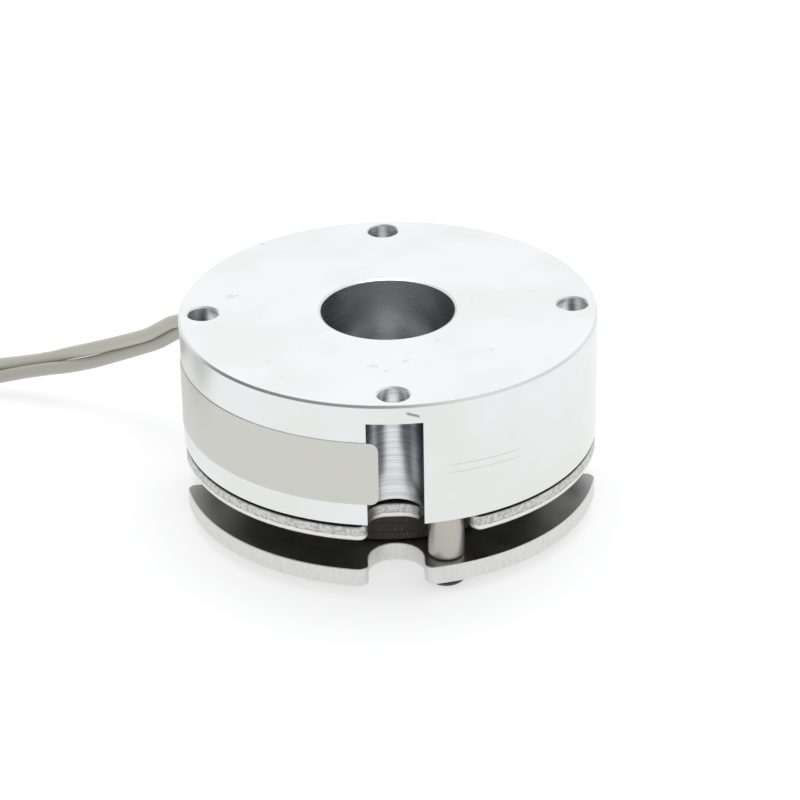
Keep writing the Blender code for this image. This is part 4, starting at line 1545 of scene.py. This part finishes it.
@dataclass
class ScrewColumns:
    """The three columns that hold the brake together: each a sleeve and the screw through it."""

    sleeve: float = 0.00245
    sleeve_bore: float = 0.0017
    sleeve_edge: float = 0.0005
    sleeve_seat: float = 0.00028
    head: float = 0.00285
    head_flat: float = 0.0015
    head_top: float = 0.0014
    shank: float = 0.0015
    thread_from: float = 0.01085
    pitch: float = 0.0005
    groove: float = 0.00025
    socket_flats: float = 0.0020
    socket_depth: float = 0.0010
    sleeve_count: int = 64
    edge_steps: int = 6
    dome_points: int = 9

    def build(self) -> None:
        """Makes the sleeves and the screws."""
        for number, turn in enumerate(SCREW_TURNS, 1):
            centre = at_turn(turn, SCREW_CIRCLE)
            low, high = span(f"spacer_{number}")
            low, high = low - self.sleeve_seat, high + self.sleeve_seat
            foot, crown = (
                [(self.sleeve - inset, height) for inset, height in rounded_edge(
                    0, self.sleeve_edge, face, rise, self.edge_steps)]
                for face, rise in ((low, 1), (high, -1)))
            profile = [(self.sleeve_bore, low), *foot, *crown[::-1], (self.sleeve_bore, high)]
            made = lathed(f"sleeve_{number}", profile, self.sleeve_count, SPACER_STEEL, centre)
            settle(even_normals(made), SPACER_STEEL, Body.STATOR, f"spacer_{number}")

            tip = span(f"cap_screw_{number}")[1]
            dome = np.linspace(0, math.pi / 2, self.dome_points)
            reach = self.head_flat + (self.head - self.head_flat) * np.sin(dome)
            profile = [*zip(reach, self.head_top * (1 - np.cos(dome))), (self.shank, self.head_top),
                       (self.shank, self.thread_from)]
            thread = threaded(self.shank, self.pitch, self.groove, self.thread_from, tip)
            thread[..., :2] += centre
            skin = Skin().net(turned(profile, THREAD_SIDES, centre)).net(thread).cap(thread[:, -1])
            add_socket(skin, self.head_flat, self.socket_flats, 0.0, self.socket_depth,
                       centre=centre)
            made = skin.piece(f"button_screw_{number}", [BLACK_OXIDE])
            settle(even_normals(made), BLACK_OXIDE, Body.STATOR, f"cap_screw_{number}")


@dataclass
class FoilBand:
    """The bare foil band: it follows the wall, bridges the left notch and passes the front one."""

    inner: float = 0.02859
    thickness: float = 0.0001
    start: float = math.radians(-112.5)
    end: float = math.radians(-4.4)
    corner: float = 0.0012
    notch_half_angle: float = math.asin(NOTCH_HALF_WIDTH / RIM)
    rows: int = 12
    columns: int = 220
    corner_points: int = 9
    crisp_bend: float = 40.0

    def reach(self, turn: Points, radius: float) -> Points:
        """The band's distance from the axis: a chord over the left notch, a tangent at the front.

        Args:
            turn: the turns to look at.
            radius: the band's distance from the axis on the wall.

        Returns:
            The distances: r cos h / cos(turn from the notch), or r / cos(turn past its edge).
        """
        across = turn + math.pi / 2
        bridge = radius * math.cos(self.notch_half_angle) / np.cos(across)
        past = np.maximum(turn + self.notch_half_angle, 0)
        return np.where(np.abs(across) < self.notch_half_angle, bridge, radius / np.cos(past))

    def build(self) -> None:
        """Makes the band as a closed sheet.

        At d from an end, its edges are c - sqrt(c^2 - (c - d)^2) in, which rounds the corners by c.
        """
        bottom, top = span("foil_label")
        width = self.corner / self.inner
        ends = width * (1 - np.cos(np.linspace(0, math.pi / 2, self.corner_points)))
        creases = [-math.pi / 2 - self.notch_half_angle, -math.pi / 2 + self.notch_half_angle,
                   -self.notch_half_angle]
        even = np.linspace(self.start + width, self.end - width, self.columns)
        turn = np.unique(np.concatenate(
            [self.start + ends[:-1], self.end - ends[:-1], creases, even]))
        from_end = np.minimum(turn - self.start, self.end - turn) * self.inner
        short = np.maximum(self.corner - from_end, 0)
        lost = self.corner - np.sqrt(self.corner**2 - np.minimum(short, self.corner) ** 2)
        share = np.linspace(-1, 1, self.rows)[None, :]
        height = (bottom + top) / 2 + share * ((top - bottom) / 2 - lost)[:, None]
        faces = []
        for radius in (self.inner, self.inner + self.thickness):
            reach = self.reach(turn, radius)
            x, y = (np.broadcast_to(part[:, None], height.shape)
                    for part in (reach * np.sin(turn), -reach * np.cos(turn)))
            faces.append(np.stack([x, y, height], axis=-1))
        inside, outside = faces
        skin = Skin().net(inside).net(outside)
        for edge in (0, -1):
            skin.net(np.stack([inside[:, edge], outside[:, edge]], axis=1))
            skin.net(np.stack([inside[edge], outside[edge]], axis=1))
        made = skin.piece("foil_band", [FOIL], sharp=self.crisp_bend)
        settle(made, FOIL, Body.STATOR, "foil_label")


@dataclass
class LeadPair:
    """Two vinyl leads, from the bushing to the tabletop and round their coil to their bare ends."""

    diameter: float = 0.0019
    pitch: float = 0.0020
    length: float = 0.300
    # The middle of the pair, from the bushing down to the tabletop and on to the coil
    route: Sequence[tuple[float, float, float]] = (
        (-0.0226, 0.0164, 0.0176), (-0.0241, 0.0175, 0.0176), (-0.0258, 0.0187, 0.0175),
        (-0.0279, 0.0200, 0.0171), (-0.0299, 0.0213, 0.0162), (-0.0318, 0.0228, 0.0145),
        (-0.0338, 0.0242, 0.0128), (-0.0368, 0.0263, 0.0109), (-0.0401, 0.0280, 0.0092),
        (-0.0432, 0.0293, 0.0078), (-0.0464, 0.0305, 0.0066), (-0.0495, 0.0315, 0.0056),
        (-0.0533, 0.0327, 0.0045), (-0.0571, 0.0337, 0.0035), (-0.0605, 0.0345, 0.0027),
        (-0.0640, 0.0351, 0.0022), (-0.0675, 0.0354, 0.0020),
    )
    # How far the upper lead leans over the lower one at each of those points, in degrees back
    leans: Sequence[float] = (
        -34, -34, -33, -31, -28, -26, -24, -18, -6, 9, 36, 60, 62, 48, 28, 12, 3)
    coil_centre: Pair = (-0.0752, 0.0214)
    first_turn: float = 0.0141
    last_turn: float = 0.0067
    turn_points: int = 24
    path_points: int = 900
    sides: int = 20
    bushing: float = 0.0023
    bushing_lip: float = 0.0027
    bushing_inside: float = 0.0201
    bushing_wall: float = 0.028875
    bushing_outside: float = 0.029375
    bushing_edge: float = 0.0002
    bushing_sides: int = 48
    strand: float = 0.00017
    strands_round: int = 6
    strand_sides: int = 8
    strand_root: float = 0.00051
    strand_lay: float = 0.009
    tip_length: float = 0.006
    tip_bend: float = 0.0055
    tip_points: int = 40
    tie_turn: float = math.radians(-70)
    tie_width: float = 0.0025
    tie_thickness: float = 0.0003
    tie_gap: float = 0.0001
    tie_corner: float = 0.0009
    tie_lift_reach: float = 0.004
    tie_head: tuple[float, float, float] = (0.0042, 0.0034, 0.0016)
    tie_head_edge: float = 0.0004

    def own_route(self, lead: Lead) -> Points:
        """One lead's own points: middle +- pitch / 2 (up cos lean + back sin lean).

        Args:
            lead: which lead.

        Returns:
            Its points from the bushing to the coil.
        """
        middle = np.array(self.route)
        ahead = np.gradient(middle, axis=0)
        ahead[[0, -1]] = middle[[1, -1]] - middle[[0, -2]]
        ahead = unit(ahead)
        up = unit(np.array((0.0, 0.0, 1.0)) - ahead * ahead[:, 2:])
        back = np.cross(ahead, up)
        back *= np.sign(back[:, 1:2])
        lean = np.radians(self.leans)[:, None]
        return middle + lead.value * self.pitch / 2 * (up * np.cos(lean) + back * np.sin(lean))

    def coiled(self, lead: Lead) -> Points:
        """The coil's spiral, anticlockwise from the back: its radius falls by the pitch each turn.

        At d from the tie it rises by the tie's thickness times exp(-(d / reach)^2).

        Args:
            lead: which lead, the upper one in the upper layer.

        Returns:
            The spiral's points.
        """
        turns = (self.first_turn - self.last_turn) / self.pitch
        angle = np.linspace(0, math.tau * turns, math.ceil(self.turn_points * turns))[1:]
        radius = self.first_turn - self.pitch * angle / math.tau
        height = self.diameter / 2 + (self.pitch if lead is Lead.UPPER else 0)
        plan = np.stack([-radius * np.sin(angle), radius * np.cos(angle)], axis=1)
        off_tie = ((angle - self.tie_turn) % math.tau - math.pi) * radius
        lift = (self.tie_thickness + self.tie_gap) * np.exp(-((off_tie / self.tie_lift_reach) ** 2))
        return np.column_stack([plan + np.array(self.coil_centre), height + lift])

    def path(self, lead: Lead) -> Points:
        """One lead's whole path, as a smooth curve through its route and its coil."""
        marks = np.concatenate([self.own_route(lead), self.coiled(lead)])
        return smooth_through(marks, self.path_points)

    def add_bushing(self) -> None:
        """Makes the rubber bushing that the leads come out of."""
        profile = [(self.bushing, self.bushing_inside), (self.bushing, self.bushing_wall),
                   (self.bushing_lip, self.bushing_wall),
                   (self.bushing_lip, self.bushing_outside - self.bushing_edge),
                   (self.bushing_lip - self.bushing_edge, self.bushing_outside)]
        housing = MagnetHousing()
        net = lying_out(turned(profile, self.bushing_sides), housing.lead_turn, housing.lead_height)
        made = Skin().drum(net).piece("bushing", [RUBBER])
        settle(even_normals(made), RUBBER, Body.STATOR, "lead_bushing")

    def add_tip(self, lead: Lead, path: Points) -> Object:
        """Makes the twisted tinned strands at a lead's bare end: six round one in the middle.

        They bend on round the coil: end + R (sin(s / R) ahead + (1 - cos(s / R)) inward).

        Args:
            lead: which lead.
            path: the lead's path.

        Returns:
            The piece.
        """
        ahead = unit(path[-1] - path[-2])
        inward = np.cross((0.0, 0.0, 1.0), ahead)
        along = np.linspace(-self.strand_root, self.tip_length, self.tip_points)[:, None]
        bend = along / self.tip_bend
        core = path[-1] + self.tip_bend * (np.sin(bend) * ahead + (1 - np.cos(bend)) * inward)
        side, up = cross_axes(core)
        skin = Skin()
        for number in range(self.strands_round):
            angle = along * math.tau / self.strand_lay + number * math.tau / self.strands_round
            away = 2 * self.strand * (side * np.cos(angle) + up * np.sin(angle))
            skin.rod(tube(core + away, self.strand, self.strand_sides))
        skin.rod(tube(core, self.strand, self.strand_sides))
        made = skin.piece(f"lead_{lead.name.lower()}_tip", [TINNED])
        return settle(made, TINNED, Body.STATOR)

    def add_tie(self) -> None:
        """Makes the tie: a closed strap round both layers of the coil, with its head on top.

        Its points are (across, up, out from the coil's centre) before it is laid at its turn.
        """
        half = self.diameter / 2 + self.tie_gap
        ceiling = self.tie_thickness + self.pitch + 2 * half
        inner, outer = self.last_turn - half, self.first_turn + half
        loop = rounded_box((inner, self.tie_thickness), (outer, ceiling), self.tie_corner)
        side, out = self.tie_width / 2, -self.tie_thickness
        section = [(0, -side), (0, side), (out, side), (out, -side), (0, -side)]
        strap = carried(loop, section)[..., [2, 1, 0]]
        length, width, height = self.tie_head
        middle, edge, top = (inner + outer) / 2, self.tie_head_edge, ceiling + height
        loop = rounded_box((middle - length / 2, -width / 2),
                           (middle + length / 2, width / 2), edge)
        head = carried(loop, [(0, ceiling), (0, top - edge), (edge, top)])[..., [1, 2, 0]]
        strap, head = (lying_out(net, self.tie_turn, 0) + (*self.coil_centre, 0)
                       for net in (strap, head))
        made = even_normals(Skin().net(strap).drum(head).piece("tie", [TIE_NYLON]))
        settle(made, TIE_NYLON, Body.STATOR, "lead_tie")

    def build(self) -> None:
        """Makes the bushing, both leads with their bare ends, and the tie."""
        self.add_bushing()
        self.add_tie()
        for lead, finish in ((Lead.UPPER, UPPER_VINYL), (Lead.LOWER, LOWER_VINYL)):
            path = self.path(lead)
            name = f"lead_{lead.name.lower()}"
            skin = Skin().rod(tube(path, self.diameter / 2, self.sides))
            made = skin.piece(f"{name}_wire", [finish])
            settle(made, finish, Body.STATOR, name, f"{name}_coil")
            tip = self.add_tip(lead, path)


@dataclass(frozen=True)
class SoftLight:
    """A square soft light that faces the brake, with its side's length as size and its watts."""

    name: str
    turn: float
    elevation: float
    distance: float
    size: float
    power: float

    def add(self) -> None:
        """Adds the light to the scene."""
        data = bpy.data.lights.new(self.name, "AREA")
        data.shape, data.size, data.energy = "SQUARE", self.size, self.power
        angle, rise = math.radians(self.turn), math.radians(self.elevation)
        light = linked(bpy.data.objects.new(self.name, data))
        light.location = (self.distance * direction(angle, rise)).tolist()
        light.rotation_euler = (math.pi / 2 - rise, 0, angle)


@dataclass
class Studio:
    """A pale floor, soft lights, a sky with a dark cloth, and the photograph's own camera angle."""

    camera_place: tuple[float, float, float] = (-0.008233, -0.397302, 0.224437)
    azimuth: float = -1.398
    elevation: float = 27.852
    roll: float = -0.963
    lens: float = 146.14
    sensor: float = 36.0
    clip: Pair = (0.01, 50.0)
    floor_half: float = 4.0
    floor_height: float = -0.00003
    sky: Colour = (0.98, 0.99, 1.0)
    sky_strength: float = 1.0
    cloth: Colour = (0.05, 0.05, 0.055)
    cloth_axis: Pair = (0.408, 0.913)
    cloth_cosine: float = 0.61
    cloth_reach: float = 0.3
    cloth_front: Pair = (0.6, 0.35)
    cloth_right: Pair = (-0.05, 0.4)
    cloth_thinning: float = 0.8
    lights: tuple[SoftLight, ...] = (
        SoftLight("back_light", turn=180, elevation=45, distance=1.6, size=1.6, power=0.7),
        SoftLight("overhead_light", turn=180, elevation=78, distance=1.6, size=0.8, power=5),
    )

    def add_camera(self) -> None:
        """Adds the camera: its axes are right, up and back turned by the roll."""
        azimuth, elevation, roll = np.radians((self.azimuth, self.elevation, self.roll)).tolist()
        back, flat = direction(azimuth, elevation), direction(azimuth + math.pi / 2, 0)
        steep = np.cross(back, flat)
        data = bpy.data.cameras.new("camera")
        data.lens, data.sensor_width = self.lens, self.sensor
        data.clip_start, data.clip_end = self.clip
        camera = linked(bpy.data.objects.new("camera", data))
        stance = np.eye(4)
        stance[:3, 0] = math.cos(roll) * flat + math.sin(roll) * steep
        stance[:3, 1] = math.cos(roll) * steep - math.sin(roll) * flat
        stance[:3, 2], stance[:3, 3] = back, self.camera_place
        camera.matrix_world = Matrix(stance.tolist())
        bpy.context.scene.camera = camera

    def add_floor(self) -> None:
        """Adds the floor, a square sheet just below height 0."""
        side = np.array([-self.floor_half, self.floor_half])
        x, y = np.meshgrid(side, side, indexing="ij")
        sheet = np.stack([x, y, np.full_like(x, self.floor_height)], axis=-1)
        Skin().net(sheet).piece("floor", [PALE_FLOOR])

    def add_sky(self) -> None:
        """Adds the sky: bright, with a dark cloth overhead that thins out towards the right.

        It hangs where the cosine to its axis is near a given one, as far back as its front says.
        """
        world = bpy.data.worlds.new("world")
        world.use_nodes = True
        graph = Graph(world.node_tree, world.node_tree.nodes["Background"])
        x, y, z = graph.split(graph.node("ShaderNodeTexCoord").outputs["Generated"])
        cosine = self.cloth_axis[0] * y + self.cloth_axis[1] * z
        band = cosine.near(self.cloth_cosine, self.cloth_reach) * y.rise(*self.cloth_front)
        dark = band * (1.0 - self.cloth_thinning * x.rise(*self.cloth_right))
        graph.shade(Color=graph.mix(dark, self.sky, self.cloth), Strength=self.sky_strength)
        bpy.context.scene.world = world

    def build(self) -> None:
        """Makes the whole studio."""
        bpy.context.scene.view_settings.view_transform = "Standard"
        self.add_sky()
        self.add_camera()
        self.add_floor()
        for light in self.lights:
            light.add()


def main() -> None:
    """Builds every sub-assembly in order and reports its pieces."""
    logging.basicConfig(level=logging.INFO, format="%(name)s: %(message)s")
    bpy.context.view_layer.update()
    for part in (Studio(), MagnetHousing(), Coil(), SpringSet(), Plates(), FrictionDisc(),
                 RotorHub(), ScrewColumns(), FoilBand(), LeadPair()):
        part.build()


if __name__ == "__main__":
    main()
